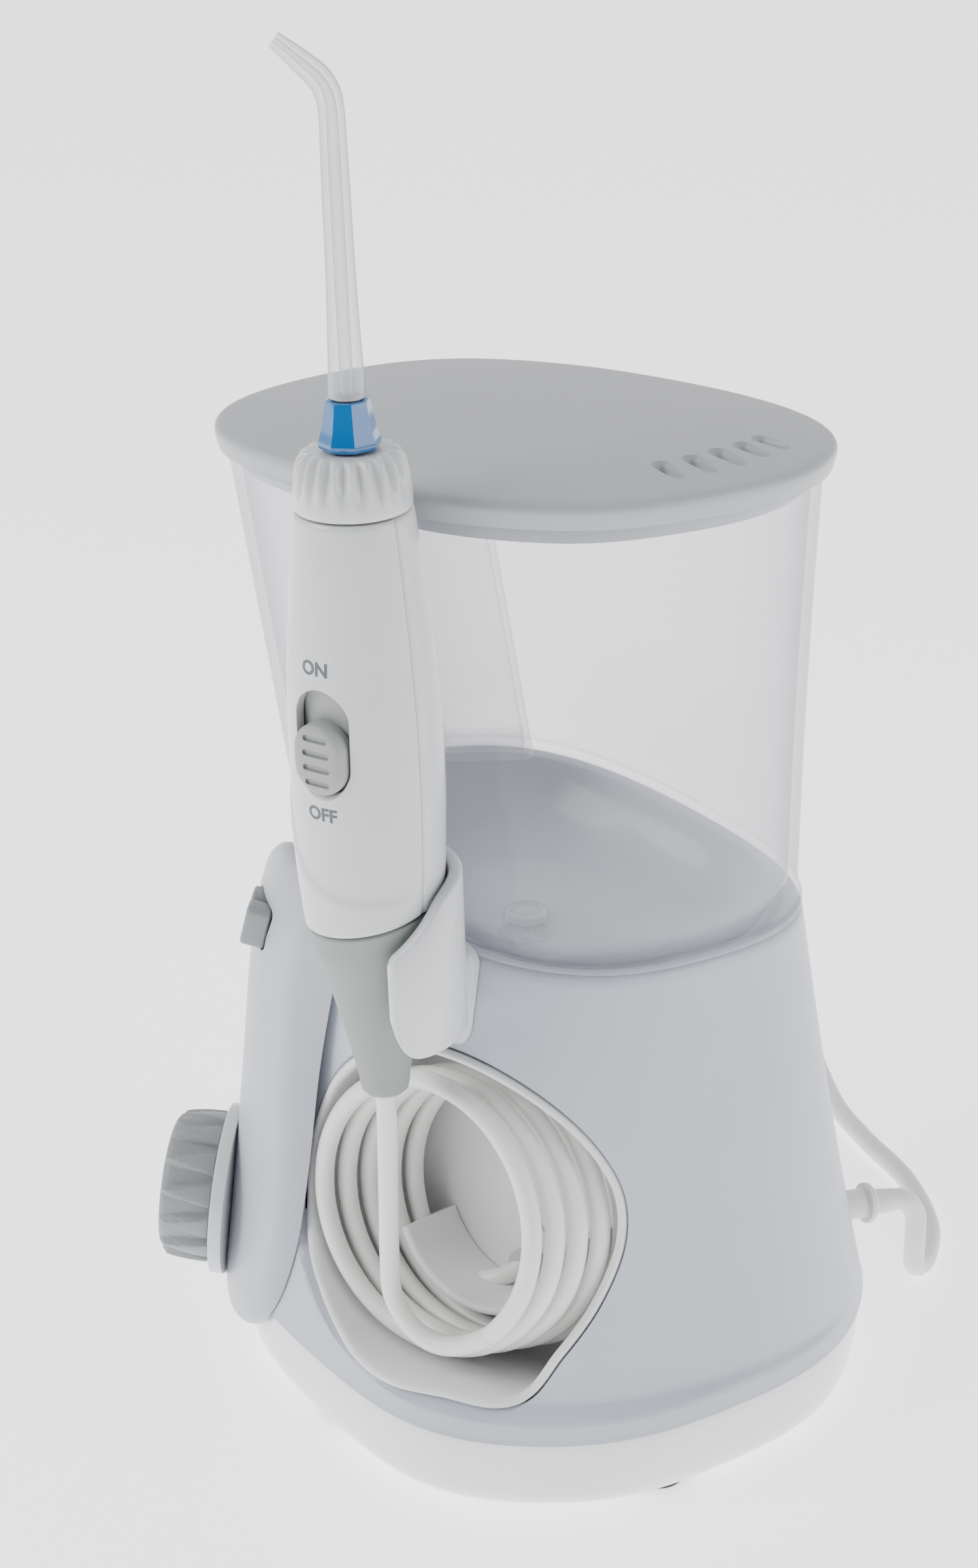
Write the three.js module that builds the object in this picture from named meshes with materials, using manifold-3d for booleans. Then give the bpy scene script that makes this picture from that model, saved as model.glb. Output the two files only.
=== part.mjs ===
// Countertop water flosser: base unit with pump, lift-off reservoir, handle with jet tip, hose and mains lead.
// Units are millimetres, +Z is up, the control panel faces -Y and the mains lead leaves towards +Y.
import * as THREE from 'three';
import { mergeVertices } from 'three/addons/utils/BufferGeometryUtils.js';
import Module from 'manifold-3d';

const wasm = await Module();
wasm.setup();

// ---- driving dimensions -------------------------------------------------------------------------------------
const CENTRE = [-1.6, 4.35];          // moves the footprint so that the object's box is centred on the origin
const SEAM_Z = 19.0;                // joint between the bottom tub and the housing
const RIM_Z = 105.8;                // height of the housing's top rim above the origin
const RIM_TILT = 0.085;             // the rim falls this much per mm ...
const RIM_TILT_AZ = 35;             // ... towards this azimuth, degrees
const SEAT_FLOOR_Z = 91.8;          // floor of the recess that the reservoir stands in
const TANK_FLOOR_Z = 94.8;          // inner floor of the reservoir
const TANK_TOP_Z = 185.6;           // top edge of the reservoir wall
const LID_Z = 185.9;                // underside of the lid's skirt
const WALL = 2.2;                   // housing wall
const TANK_WALL = 1.9;              // reservoir wall
const GAP = 0.3;                    // clearance between touching pieces
const WELL_AZ = -33, WELL_EL = 11;  // direction that the hose well faces
const WELL_C = [37.3, -21.3, 53.1]; // centre of the first turn of hose
const WELL_DEPTH = 27.5;            // from that centre to the well's back wall
const HOSE_D = 3.7;                 // water hose outside diameter
const HOSE_TURN_R = 25.7;           // hose coil radius at mid hose
const HANDLE_BASE = [40.8, -26.7, 113.7]; // handle axis at the joint between shells and cone
const HANDLE_LEAN = 1.75;           // the handle leans this many degrees towards the front
const KNOB_C = [0, -62.6, 31.9];    // knob axis at the panel
const KNOB_EL = 5;                  // the knob axis tilts up, degrees
const PUMP_X = -22, PUMP_Z = 62;    // pump axis, along Y
const GEAR_C = [-22, 18];           // drive gear axis
const GEAR_TEETH = 32, PINION_TEETH = 10, MODULE = 1.0;
const CRANK_R = 4;                  // crank throw
const CORD_D = 4.4;                 // mains lead

const rad = THREE.MathUtils.degToRad;
const V = (x, y, z) => new THREE.Vector3(x, y, z);

// ---- plan outlines: radius every 15 degrees about a centre ---------------------------------------------------
const R_SEAM = [57.7, 57.4, 56.9, 57.3, 60.2, 62.0, 62.4, 61.2, 58.8, 56.9, 56.0, 55.8, 56.0, 56.2, 56.5, 57.2, 59.0, 61.3, 62.5, 59.6, 56.5, 55.3, 57.0, 58.3];
const R_RIM = [43.2, 45.0, 45.6, 46.8, 49.2, 49.4, 44.4, 38.4, 34.6, 33.0, 33.2, 35.0, 38.0, 41.5, 44.0, 46.0, 47.8, 49.0, 48.6, 45.6, 41.0, 38.2, 38.6, 41.2];
const R_LID = [42.4, 44.4, 46.0, 47.9, 51.4, 54.4, 55.1, 51.0, 45.8, 42.2, 40.6, 40.8, 42.2, 44.8, 47.3, 49.0, 51.2, 54.4, 55.1, 50.6, 44.4, 41.6, 41.2, 41.6];
const C_SEAM = [0.8, 1.5], C_RIM = [-9, 0], C_LID = [-6.6, -5.5], C_FLOOR = [-6, 5];

function sample(R, deg) {
  const n = R.length, x = ((deg / 15) % n + n) % n, i = Math.floor(x), u = x - i;
  const a = R[(i - 1 + n) % n], b = R[i % n], c = R[(i + 1) % n], d = R[(i + 2) % n];
  return b + 0.5 * u * (c - a + u * (2 * a - 5 * b + 4 * c - d + u * (3 * (b - c) + d - a)));
}
const lerp = (a, b, t) => a + (b - a) * t;
const smooth = (a, b, x) => { const t = Math.min(1, Math.max(0, (x - a) / (b - a))); return t * t * (3 - 2 * t); };
const rimZ = (x, y, z0 = RIM_Z) => z0 - RIM_TILT * (x * Math.cos(rad(RIM_TILT_AZ)) + y * Math.sin(rad(RIM_TILT_AZ)));
function table(T, x) {
  if (x <= T[0][0]) return T[0][1];
  for (let i = 1; i < T.length; i++) if (x <= T[i][0]) return lerp(T[i - 1][1], T[i][1], (x - T[i - 1][0]) / (T[i][0] - T[i - 1][0]));
  return T[T.length - 1][1];
}
// the flared skirt: a step that sweeps down from the front and becomes a ledge above the seam
const EDGE_Z = [[-100, 114], [-88, 112], [-82, 104], [-76, 80], [-70, 57], [-62, 40], [-52, 30], [-40, 25.6], [-20, 23.8], [80, 23.5]];
const EDGE_D = [[-92, 0], [-84, 1.6], [-76, 2.6], [-60, 3.0], [0, 2.7], [30, 2.2], [52, 1.1], [75, 0]];
function step(deg, z) {
  const a = ((deg + 180) % 360 + 360) % 360 - 180;
  const d = table(EDGE_D, a), e = table(EDGE_Z, a);
  return d * smooth(e - 1.2, e + 1.2, z) * (1 - smooth(e, 116, z));
}
// point of the housing's outside at azimuth deg and height fraction t
function housePoint(deg, t, grow = 0, stepped = true) {
  const cx = lerp(C_SEAM[0], C_RIM[0], t), cy = lerp(C_SEAM[1], C_RIM[1], t);
  let r = lerp(sample(R_SEAM, deg), sample(R_RIM, deg), t) + grow;
  const c = Math.cos(rad(deg)), s = Math.sin(rad(deg));
  const z = lerp(SEAM_Z, rimZ(cx + r * c, cy + r * s), t);
  if (stepped) r -= step(deg, z);
  return V(cx + r * c, cy + r * s, z);
}
const N = 32;
const ring = (f) => Array.from({ length: N }, (_, i) => f(i * 360 / N));
const outline = (C, R, z, inset = 0) => ring(a => V(C[0] + (sample(R, a) - inset) * Math.cos(rad(a)), C[1] + (sample(R, a) - inset) * Math.sin(rad(a)), z));

// ---- solids --------------------------------------------------------------------------------------------------
// closed solid through a stack of rings with equal point counts
function loft(rings) {
  const n = rings[0].length, pos = [], idx = [];
  for (const r of rings) for (const p of r) pos.push(p.x, p.y, p.z);
  for (let i = 0; i < rings.length - 1; i++) for (let j = 0; j < n; j++) {
    const a = i * n + j, b = i * n + (j + 1) % n, c = a + n, d = b + n;
    idx.push(a, b, d, a, d, c);
  }
  const cap = (k, flip) => {
    const m = V(0, 0, 0);
    for (const p of rings[k]) m.add(p);
    m.divideScalar(n);
    const o = pos.length / 3;
    pos.push(m.x, m.y, m.z);
    for (let j = 0; j < n; j++) { const a = k * n + j, b = k * n + (j + 1) % n; flip ? idx.push(o, b, a) : idx.push(o, a, b); }
  };
  cap(0, true);
  cap(rings.length - 1, false);
  const g = new THREE.BufferGeometry();
  g.setAttribute('position', new THREE.Float32BufferAttribute(pos, 3));
  g.setIndex(idx);
  return outward(g);
}
function volume(g) {
  const p = g.attributes.position, ix = g.index ? g.index.array : null, n = ix ? ix.length : p.count;
  let v = 0; const a = V(), b = V(), c = V();
  for (let i = 0; i < n; i += 3) {
    a.fromBufferAttribute(p, ix ? ix[i] : i); b.fromBufferAttribute(p, ix ? ix[i + 1] : i + 1); c.fromBufferAttribute(p, ix ? ix[i + 2] : i + 2);
    v += a.dot(b.cross(c));
  }
  return v / 6;
}
function outward(g) {
  if (volume(g) < 0) { const a = g.index.array; for (let i = 0; i < a.length; i += 3) { const t = a[i]; a[i] = a[i + 1]; a[i + 1] = t; } }
  return g;
}
function clean(g) {
  let c = g.clone();
  for (const k of Object.keys(c.attributes)) if (k !== 'position') c.deleteAttribute(k);
  return outward(mergeVertices(c, 1e-4));
}
function solid(g) {
  const c = clean(g);
  return new wasm.Manifold(new wasm.Mesh({ numProp: 3, vertProperties: new Float32Array(c.attributes.position.array), triVerts: new Uint32Array(c.index.array) }));
}
function geometry(m) {
  const k = m.getMesh(), g = new THREE.BufferGeometry();
  g.setAttribute('position', new THREE.Float32BufferAttribute(new Float32Array(k.vertProperties), 3));
  g.setIndex(Array.from(k.triVerts));
  return g;
}
const cut = (a, ...bs) => { let m = a.subtract ? a : solid(a); for (const b of bs) m = m.subtract(b.subtract ? b : solid(b)); return m; };
const join = (a, ...bs) => { let m = a.add ? a : solid(a); for (const b of bs) m = m.add(b.add ? b : solid(b)); return m; };
const common = (a, b) => (a.intersect ? a : solid(a)).intersect(b.intersect ? b : solid(b));

// turned solid: profile of [radius, height], about Z
function turned(profile, seg = 24) { return clean(new THREE.LatheGeometry(profile.map(p => new THREE.Vector2(Math.max(p[0], 0), p[1])), seg).rotateX(Math.PI / 2)); }
const disc = (r, z0, z1, seg = 24) => turned([[0, z0], [r, z0], [r, z1], [0, z1]], seg);
const tubeRing = (ri, ro, z0, z1, seg = 28) => turned([[ri, z0], [ro, z0], [ro, z1], [ri, z1], [ri, z0]], seg);
function slab(points, depth, bevel = 0) {
  const s = new THREE.Shape(points.map(p => new THREE.Vector2(p[0], p[1])));
  return clean(new THREE.ExtrudeGeometry(s, { depth, bevelEnabled: bevel > 0, bevelSize: bevel, bevelThickness: bevel, bevelSegments: 1, steps: 1 }));
}
function roundRect(w, h, r, k = 3) {
  const pts = [];
  for (const [sx, sy, a0] of [[1, 1, 0], [-1, 1, 90], [-1, -1, 180], [1, -1, 270]]) for (let i = 0; i <= k; i++) {
    const a = rad(a0 + 90 * i / k);
    pts.push([sx * (w / 2 - r) + r * Math.cos(a), sy * (h / 2 - r) + r * Math.sin(a)]);
  }
  return pts;
}
function box(x0, x1, y0, y1, z0, z1) { return clean(new THREE.BoxGeometry(x1 - x0, y1 - y0, z1 - z0).translate((x0 + x1) / 2, (y0 + y1) / 2, (z0 + z1) / 2)); }
// frame matrix whose local Z is dir and whose local X is as near as possible to hint
function frameAt(origin, dir, hint = [0, 0, 1]) {
  const z = V(...dir).normalize(), x = V(...hint); x.addScaledVector(z, -x.dot(z)).normalize();
  const y = z.clone().cross(x);
  return new THREE.Matrix4().makeBasis(x, y, z).setPosition(V(...origin));
}
const placed = (g, m) => g.getMesh ? solid(geometry(g).applyMatrix4(m)) : clean(g.clone().applyMatrix4(m));
function sweep(points, r, seg, steps) {
  const curve = new THREE.CatmullRomCurve3(points.map(p => V(...p)), false, 'centripetal');
  const s = new THREE.Shape(Array.from({ length: seg }, (_, i) => new THREE.Vector2(r * Math.cos(2 * Math.PI * i / seg), r * Math.sin(2 * Math.PI * i / seg))));
  return clean(new THREE.ExtrudeGeometry(s, { steps, bevelEnabled: false, extrudePath: curve }));
}
const polar = (az, el) => [Math.cos(rad(el)) * Math.cos(rad(az)), Math.cos(rad(el)) * Math.sin(rad(az)), Math.sin(rad(el))];

// ---- scene graph ---------------------------------------------------------------------------------------------
const flosser = new THREE.Group();
flosser.position.set(CENTRE[0], CENTRE[1], 0);
const LOOK = {
  housing: [0xd9dade, 0.42, 0], tub: [0xf1f2f3, 0.22, 0], panel: [0xdcdde1, 0.4, 0], knob: [0x9c9fa1, 0.5, 0],
  clear: [0xe9eaf2, 0.05, 0], lid: [0xc9cace, 0.4, 0], handle: [0xe3e2e0, 0.35, 0], cone: [0xa9aca8, 0.6, 0],
  blue: [0x1566a8, 0.18, 0], hose: [0xe8e6e0, 0.4, 0], rubber: [0x2c2d2e, 0.8, 0], steel: [0xb9bbbd, 0.3, 1],
  board: [0x2f6b48, 0.6, 0], inner: [0xc4c6c8, 0.5, 0], cord: [0xe4e4e2, 0.5, 0], brass: [0xb59a55, 0.35, 1],
};
function add(name, geo, look, parent = flosser, pos = null, quat = null) {
  const g = geo.getMesh ? geometry(geo) : geo;
  const [color, roughness, metalness] = LOOK[look];
  const m = new THREE.Mesh(g, new THREE.MeshStandardMaterial({ color, roughness, metalness, transparent: look === 'clear', opacity: look === 'clear' ? 0.4 : 1 }));
  m.name = name;
  if (pos) m.position.set(...pos);
  if (quat) m.quaternion.copy(quat);
  parent.add(m);
  return m;
}

// ---- well outline and prism ----------------------------------------------------------------------------------
const wellN = polar(WELL_AZ, WELL_EL);
const wellE = [Math.sin(rad(-WELL_AZ)), Math.cos(rad(WELL_AZ)), 0];
const wellW = [-Math.sin(rad(WELL_EL)) * Math.cos(rad(WELL_AZ)), -Math.sin(rad(WELL_EL)) * Math.sin(rad(WELL_AZ)), Math.cos(rad(WELL_EL))];
const WELL_M = new THREE.Matrix4().makeBasis(V(...wellE), V(...wellW), V(...wellN)).setPosition(V(...WELL_C));
const WELL_PTS = [[-29.5, -2], [-28.5, 9], [-24, 19.5], [-15.5, 28], [-4.5, 33], [7, 34], [18, 31], [27.5, 24.5], [34, 15], [36.3, 4], [35, -8], [31.5, -18.5], [26.5, -28.5], [14, -30.2], [2, -31], [-10, -28.6], [-20.5, -22], [-27, -12.5]];
function grown(pts, d) {
  const n = pts.length;
  return pts.map((p, i) => {
    const a = pts[(i - 1 + n) % n], b = pts[(i + 1) % n], t = [b[0] - a[0], b[1] - a[1]], l = Math.hypot(...t);
    return [p[0] + d * t[1] / l, p[1] - d * t[0] / l];
  });
}
const signed = WELL_PTS.reduce((s, p, i) => { const q = WELL_PTS[(i + 1) % WELL_PTS.length]; return s + p[0] * q[1] - q[0] * p[1]; }, 0);
const GROW = signed > 0 ? 1 : -1;
const wellPrism = (d, z0, z1) => placed(slab(grown(WELL_PTS, d * GROW), z1 - z0).translate(0, 0, z0), WELL_M);

// ---- housing -------------------------------------------------------------------------------------------------
const LEVELS = [0, 0.035, 0.07, 0.14, 0.28, 0.55, 1];
const houseOuter = loft([ring(a => housePoint(a, 0).setZ(SEAM_Z)), ...LEVELS.slice(1, -1).map(t => ring(a => housePoint(a, t))), ring(a => housePoint(a, 0.985)), ring(a => housePoint(a, 1, -1.0))]);
const houseInner = loft([ring(a => housePoint(a, 0, -WALL).setZ(SEAM_Z - 1)), ring(a => housePoint(a, 0, -WALL).setZ(SEAM_Z + 3)), ...[0.12, 0.25, 0.45, 0.65].map(t => ring(a => housePoint(a, t, -WALL))), ring(a => { const p = housePoint(a, 0.78, -WALL); p.z = SEAT_FLOOR_Z - 3.4; return p; })]);
// recess for the reservoir
const BOWL = [[1, 0], [0.75, 1.6], [0.42, 5.0], [0.14, 10.5], [0, 15.0]];
function bowl(extra, floorZ, rimLift, topLift) {
  const rings = [...BOWL].reverse().map(([h, inset]) => ring(a => {
    const k = inset / 15, cx = lerp(C_RIM[0], C_FLOOR[0], k), cy = lerp(C_RIM[1], C_FLOOR[1], k);
    const r = sample(R_RIM, a) - 3.2 - inset - extra;
    const x = cx + r * Math.cos(rad(a)), y = cy + r * Math.sin(rad(a));
    return V(x, y, lerp(floorZ, rimZ(x, y) + rimLift, h));
  }));
  if (topLift) rings.push(rings[rings.length - 1].map(p => V(p.x, p.y, p.z + topLift)));
  return loft(rings);
}
const VALVE = [-2, -3.9];
const portHole = disc(5.2, 80, 100, 24).translate(VALVE[0], VALVE[1], 0);
const knobDir = [0, -Math.cos(rad(KNOB_EL)), Math.sin(rad(KNOB_EL))];
const KNOB_M = frameAt(KNOB_C, knobDir, [1, 0, 0]);
const stemHole = placed(disc(3.6, -22, 6, 20), KNOB_M);
const GLAND_AZ = 115;
const glandP = [-15.6, 63.6, 25.1];
const glandDir = polar(GLAND_AZ, -6);
const GLAND_M = frameAt(glandP, glandDir);
const glandHole = placed(disc(3.3, -14, 8, 20), GLAND_M);
let housing = cut(houseOuter, houseInner, bowl(0, SEAT_FLOOR_Z, 0, 14), wellPrism(0, -40, 40), portHole, stemHole, glandHole);
add('main_housing', housing, 'housing');

// ---- bottom tub ----------------------------------------------------------------------------------------------
const TUB = [[2, 6.5], [3, 3.6], [6, 1.7], [12, 0.8], [SEAM_Z - GAP, 0.5]];
const tubOuter = loft(TUB.map(([z, i]) => outline(C_SEAM, R_SEAM, z, i)));
const tubInner = loft([outline(C_SEAM, R_SEAM, 4.2, 9), outline(C_SEAM, R_SEAM, 6, 5), outline(C_SEAM, R_SEAM, 10, 3.2), outline(C_SEAM, R_SEAM, 24, 2.8)]);
const FEET = [[40.0, 24.5], [26.5, -35.5], [-38, -26], [-32, 36]];
const SCREWS = [[44, 8], [20, -44], [-46, -8], [14, 50]];
let tub = join(cut(tubOuter, tubInner), ...SCREWS.map(([x, y]) => disc(4.6, 3, 14, 12).translate(x, y, 0)));
tub = cut(tub, ...FEET.map(([x, y]) => disc(6.4, 0, 2.9, 16).translate(x, y, 0)), ...SCREWS.flatMap(([x, y]) => [disc(1.9, 0, 20, 10).translate(x, y, 0), disc(3.2, 0, 5, 12).translate(x, y, 0)]));
const wellClear = wellPrism(2.4, -WELL_DEPTH - 2.4, 40);
tub = cut(tub, common(wellClear, box(-60, 80, -80, 80, 5, 60)));
add('bottom_tub', tub, 'tub');
FEET.forEach(([x, y], i) => add(['foot_rear_right', 'foot_front_right', 'foot_front_left', 'foot_rear_left'][i], turned([[0, 0], [5.2, 0], [6, 0.8], [6, 2.6], [0, 2.6]], 16), 'rubber', flosser, [x, y, 0]));
SCREWS.forEach(([x, y], i) => add('base_screw_' + (i + 1), turned([[0, 3.1], [2.8, 3.1], [2.8, 4.6], [1.5, 4.7], [1.5, 13], [0, 13.6]], 10), 'steel', flosser, [x, y, 0]));

// ---- hose well, hub and fitting ------------------------------------------------------------------------------
const houseSkin = loft([ring(a => housePoint(a, 0, -GAP).setZ(SEAM_Z + 0.2)), ...LEVELS.slice(1, -1).map(t => ring(a => housePoint(a, t, -GAP))), ring(a => housePoint(a, 0.97, -GAP))]);
let cup = common(wellPrism(-GAP, -WELL_DEPTH - 1.8, 40), houseSkin);
cup = cut(cup, wellPrism(-GAP - 1.7, -WELL_DEPTH, 60));
const CONN = [9, -14];  // where the hose leaves the back wall, in the well's plane
cup = cut(cup, placed(disc(3.2, -WELL_DEPTH - 4, -WELL_DEPTH + 2, 20).translate(CONN[0], CONN[1], 0), WELL_M));
add('hose_well', cup, 'inner');
const hubArc = [];
for (let i = 0; i <= 10; i++) { const a = rad(-150 + 150 * i / 10); hubArc.push([5.5 + 20 * Math.cos(a), -1 + 20 * Math.sin(a)]); }
for (let i = 10; i >= 0; i--) { const a = rad(-150 + 150 * i / 10); hubArc.push([5.5 + 18.2 * Math.cos(a), -1 + 18.2 * Math.sin(a)]); }
add('hose_hub', placed(slab(hubArc, 15).translate(0, 0, -WELL_DEPTH + GAP), WELL_M), 'inner');
add('hose_connector', placed(turned([[0, -WELL_DEPTH - 6], [2.4, -WELL_DEPTH - 6], [2.4, -WELL_DEPTH - 2.2], [2.8, -WELL_DEPTH - 1.6], [2.8, -WELL_DEPTH + 4], [0, -WELL_DEPTH + 4]], 20).translate(CONN[0], CONN[1], 0), WELL_M), 'inner');

// ---- control panel -------------------------------------------------------------------------------------------
const PANEL_T = [[4, 2.4], [12, 3.2], [30, 3.7], [55, 4.5], [72, 5.4], [84, 6.0], [94, 5.9], [101, 4.9], [106, 2.6], [112, 0.7]];
function skinAt(deg, z, grow) {            // housing outside, continued straight down below the seam
  const t = Math.max(0, Math.min(1, (z - SEAM_Z) / (rimZ(-4, -50) - SEAM_Z)));
  const p = housePoint(deg, t, grow, false);
  return V(p.x, p.y, z);
}
const panelZ = [3, 11, 20, 36, 55, 73, 84, 94, 101, 106, 109];
const panelBlock = cut(loft(panelZ.map(z => ring(a => skinAt(a, z, table(PANEL_T, z))))), loft([1, ...panelZ.slice(1, -1), 112].map(z => ring(a => skinAt(a, z, GAP)))));
const panelShape = new THREE.SplineCurve([[0, 106.5], [9, 105.6], [13.5, 101], [15.5, 90], [18.5, 72], [23, 52], [25.8, 36], [25.3, 23], [21, 14.6], [11, 10.8], [0, 9.9], [-11, 10.8], [-21, 14.6], [-25.3, 23], [-25.8, 36], [-23, 52], [-18.5, 72], [-15.5, 90], [-13.5, 101], [-9, 105.6], [0, 106.5]].map(p => new THREE.Vector2(...p))).getPoints(34).slice(0, -1).map(p => [p.x, p.y]);
const panelPrism = clean(slab(panelShape, 60).rotateX(Math.PI / 2).translate(0, -24, 0));
const BUTTON_DIR = [0, -Math.cos(rad(14)), Math.sin(rad(14))];
const BUTTON_AT = [[-2.8, -54.2, 93.7], [2.8, -54.2, 93.7]];
const buttonM = BUTTON_AT.map(p => frameAt(p, BUTTON_DIR, [1, 0, 0]));
const ringM = frameAt([0, KNOB_C[1], KNOB_C[2]], knobDir, [1, 0, 0]);
let panel = common(panelBlock, panelPrism);
panel = cut(panel, stemHole, placed(slab(roundRect(11.0, 9.2, 1.6), 20).translate(0, 0, -12), frameAt([0, -54.2, 93.7], BUTTON_DIR, [1, 0, 0])), placed(disc(17.4, -0.9, 12, 36), ringM));
add('control_panel', panel, 'panel');
add('knob_ring', placed(tubeRing(3.6, 17.0, -0.6, 2.0, 36), ringM), 'tub');
// knob with tapered fins
const knobRings = [[2.3, 13.7, 15.1], [7, 13.5, 14.9], [11.2, 13.2, 14.5], [12.5, 13.0, 13.6]];
const FINS = 14;
const knobLoft = loft(knobRings.map(([z, r0, r1], k) => Array.from({ length: 70 }, (_, i) => {
  const a = 2 * Math.PI * i / 70, w = Math.abs(((i * FINS / 70) % 1) - 0.5) * 2, edge = [0.45, 0.62, 0.86, 1.1][k];
  const r = lerp(r0, r1, smooth(edge - 0.2, edge + 0.05, w));
  return V(r * Math.cos(a), r * Math.sin(a), z);
})));
const knob = add('pressure_knob', placed(knobLoft, KNOB_M), 'knob');
add('valve_stem', placed(turned([[0, 2.2], [2.6, 2.2], [2.6, -12.5], [1.6, -14.5], [0, -15]], 20), KNOB_M), 'brass');
add('pressure_valve', cut(placed(slab(roundRect(14, 14, 2), 8.5).translate(-1.6, 0, -18.0), KNOB_M), placed(turned([[0, -16], [2.9, -15.6], [2.9, 5], [0, 5]], 20), KNOB_M)), 'inner');
buttonM.forEach((m, i) => add(['power_button', 'mode_button'][i], placed(slab(roundRect(3.8, 7.6, 1.2), 4.0, 0.5).translate(0, 0, -1.4), m), 'knob'));

// ---- cradle for the handle -----------------------------------------------------------------------------------
const lean = rad(HANDLE_LEAN), fwdDir = V(Math.sin(rad(5)), -Math.cos(rad(5)), 0); // lean direction in plan
const handleAxis = V(fwdDir.x * Math.sin(lean), fwdDir.y * Math.sin(lean), Math.cos(lean));
const FACE_AZ = -28;                                                              // the slider faces this way
const HANDLE_M = frameAt(HANDLE_BASE, handleAxis.toArray(), polar(FACE_AZ, 0));
const inv = new THREE.Matrix4().copy(HANDLE_M).invert();
const CR_IN = 12.75, CR_OUT = 15.2, CR_Z0 = -18.2, CR_Z1 = 12.5;
const CR_A0 = 42.5, CR_A1 = 259;                                                     // the clip's two ends
const arcPts = (r0, r1, a0, a1, k) => { const p = []; for (let i = 0; i <= k; i++) { const a = rad(lerp(a0, a1, i / k)); p.push([r0 * Math.cos(a), r0 * Math.sin(a)]); } for (let i = k; i >= 0; i--) { const a = rad(lerp(a0, a1, i / k)); p.push([r1 * Math.cos(a), r1 * Math.sin(a)]); } return p; };
let clip = solid(slab(arcPts(CR_IN, CR_OUT, CR_A0, CR_A1, 20), CR_Z1 - CR_Z0).translate(0, 0, CR_Z0));
// a slanted cut gives the clip its high back and low lips
const slant = clean(new THREE.BoxGeometry(80, 80, 40).translate(0, 0, 20).applyMatrix4(new THREE.Matrix4().makeRotationY(rad(43.4))).translate(0, 0, 11.55));
clip = cut(clip, slant);
const neck = slab(roundRect(19, 17.5, 3), 24);
let cradle = join(clip, cut(neck.clone().applyMatrix4(new THREE.Matrix4().makeBasis(V(0, 1, 0), V(0, 0, 1), V(1, 0, 0)).setPosition(V(-36, 0, -17))), disc(CR_IN, -60, 60, 28)));
cradle = solid(placed(geometry(cradle), HANDLE_M));
const houseGrown = loft([ring(a => housePoint(a, 0, GAP)), ...LEVELS.slice(1, -1).map(t => ring(a => housePoint(a, t, GAP))), ring(a => housePoint(a, 1, GAP)), ring(a => { const p = housePoint(a, 1, GAP); return V(p.x, p.y, p.z + 30); })]);
cradle = cut(cradle, houseGrown);
add('handle_cradle', cradle, 'handle');

// ---- handle --------------------------------------------------------------------------------------------------
const BODY = [[-2, 11.1], [0, 11.3], [5, 11.8], [15, 12.5], [30, 13.0], [42, 12.8], [54, 12.1], [66, 11.0], [77.3, 9.75]];
// the joint between shells and cone is a slanted plane
const JOINT_Z = 5.5, JOINT_TILT = 12, JOINT_AZ = 123;
const jointCut = (z) => clean(new THREE.BoxGeometry(80, 80, 60).translate(0, 0, 30).applyMatrix4(new THREE.Matrix4().makeRotationAxis(V(Math.sin(rad(JOINT_AZ)), -Math.cos(rad(JOINT_AZ)), 0), rad(JOINT_TILT))).translate(0, 0, z));
const underJoint = clean(new THREE.BoxGeometry(80, 80, 60).translate(0, 0, -30).applyMatrix4(new THREE.Matrix4().makeRotationAxis(V(Math.sin(rad(JOINT_AZ)), -Math.cos(rad(JOINT_AZ)), 0), rad(JOINT_TILT))).translate(0, 0, JOINT_Z + 0.2));
const shellTube = cut(turned([[0, -2], ...BODY.map(([z, r]) => [r, z]), [0, 77.3]], 24), turned([[0, -3], [9.3, -3], ...BODY.map(([z, r]) => [r - 1.8, z]), [7.95, 80], [0, 80]], 24), underJoint);
const wedge = (a0, a1, grow) => { const p = [[0, 0]]; for (let i = 0; i <= 12; i++) { const a = rad(lerp(a0 + grow, a1 - grow, i / 12)); p.push([30 * Math.cos(a), 30 * Math.sin(a)]); } return slab(p, 100).translate(0, 0, -10); };
const SPLIT = 79;
const rearWedge = wedge(SPLIT, 360 - SPLIT, 0.75);
const frontCut = wedge(SPLIT, 360 - SPLIT, 0);
// slot for the slider
const SLOT_Z = 40.5, SLOT_L = 18.4, SLOT_W = 10.6;
const capsule = (w, l, k = 8) => { const p = [], r = w / 2, h = l / 2 - r; for (let i = 0; i <= k; i++) { const a = Math.PI * i / k; p.push([r * Math.cos(a), h + r * Math.sin(a)]); } for (let i = 0; i <= k; i++) { const a = Math.PI + Math.PI * i / k; p.push([r * Math.cos(a), -h + r * Math.sin(a)]); } return p; };
const slotGeo = placed(slab(capsule(SLOT_W, SLOT_L), 20), new THREE.Matrix4().makeBasis(V(0, 1, 0), V(0, 0, 1), V(1, 0, 0)).setPosition(V(5, 0, SLOT_Z)));
let front = cut(shellTube, frontCut, slotGeo);
let rear = common(shellTube, rearWedge);
const H = (g) => placed(g, HANDLE_M);
add('handle_front_shell', H(front), 'handle');
add('handle_rear_shell', H(rear), 'handle');
const CONE = [[4.0, -31.2], [4.3, -30.4], [5.0, -26], [7.1, -16], [9.4, -6.5], [10.9, -1.2], [11.3, 0.6], [11.8, 5], [12.15, 10]];
add('hose_cone', H(cut(turned([[0, -31.2], ...CONE, [0, 10]], 24), disc(2.15, -40, -26, 20), jointCut(JOINT_Z - 0.2))), 'cone');
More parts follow.
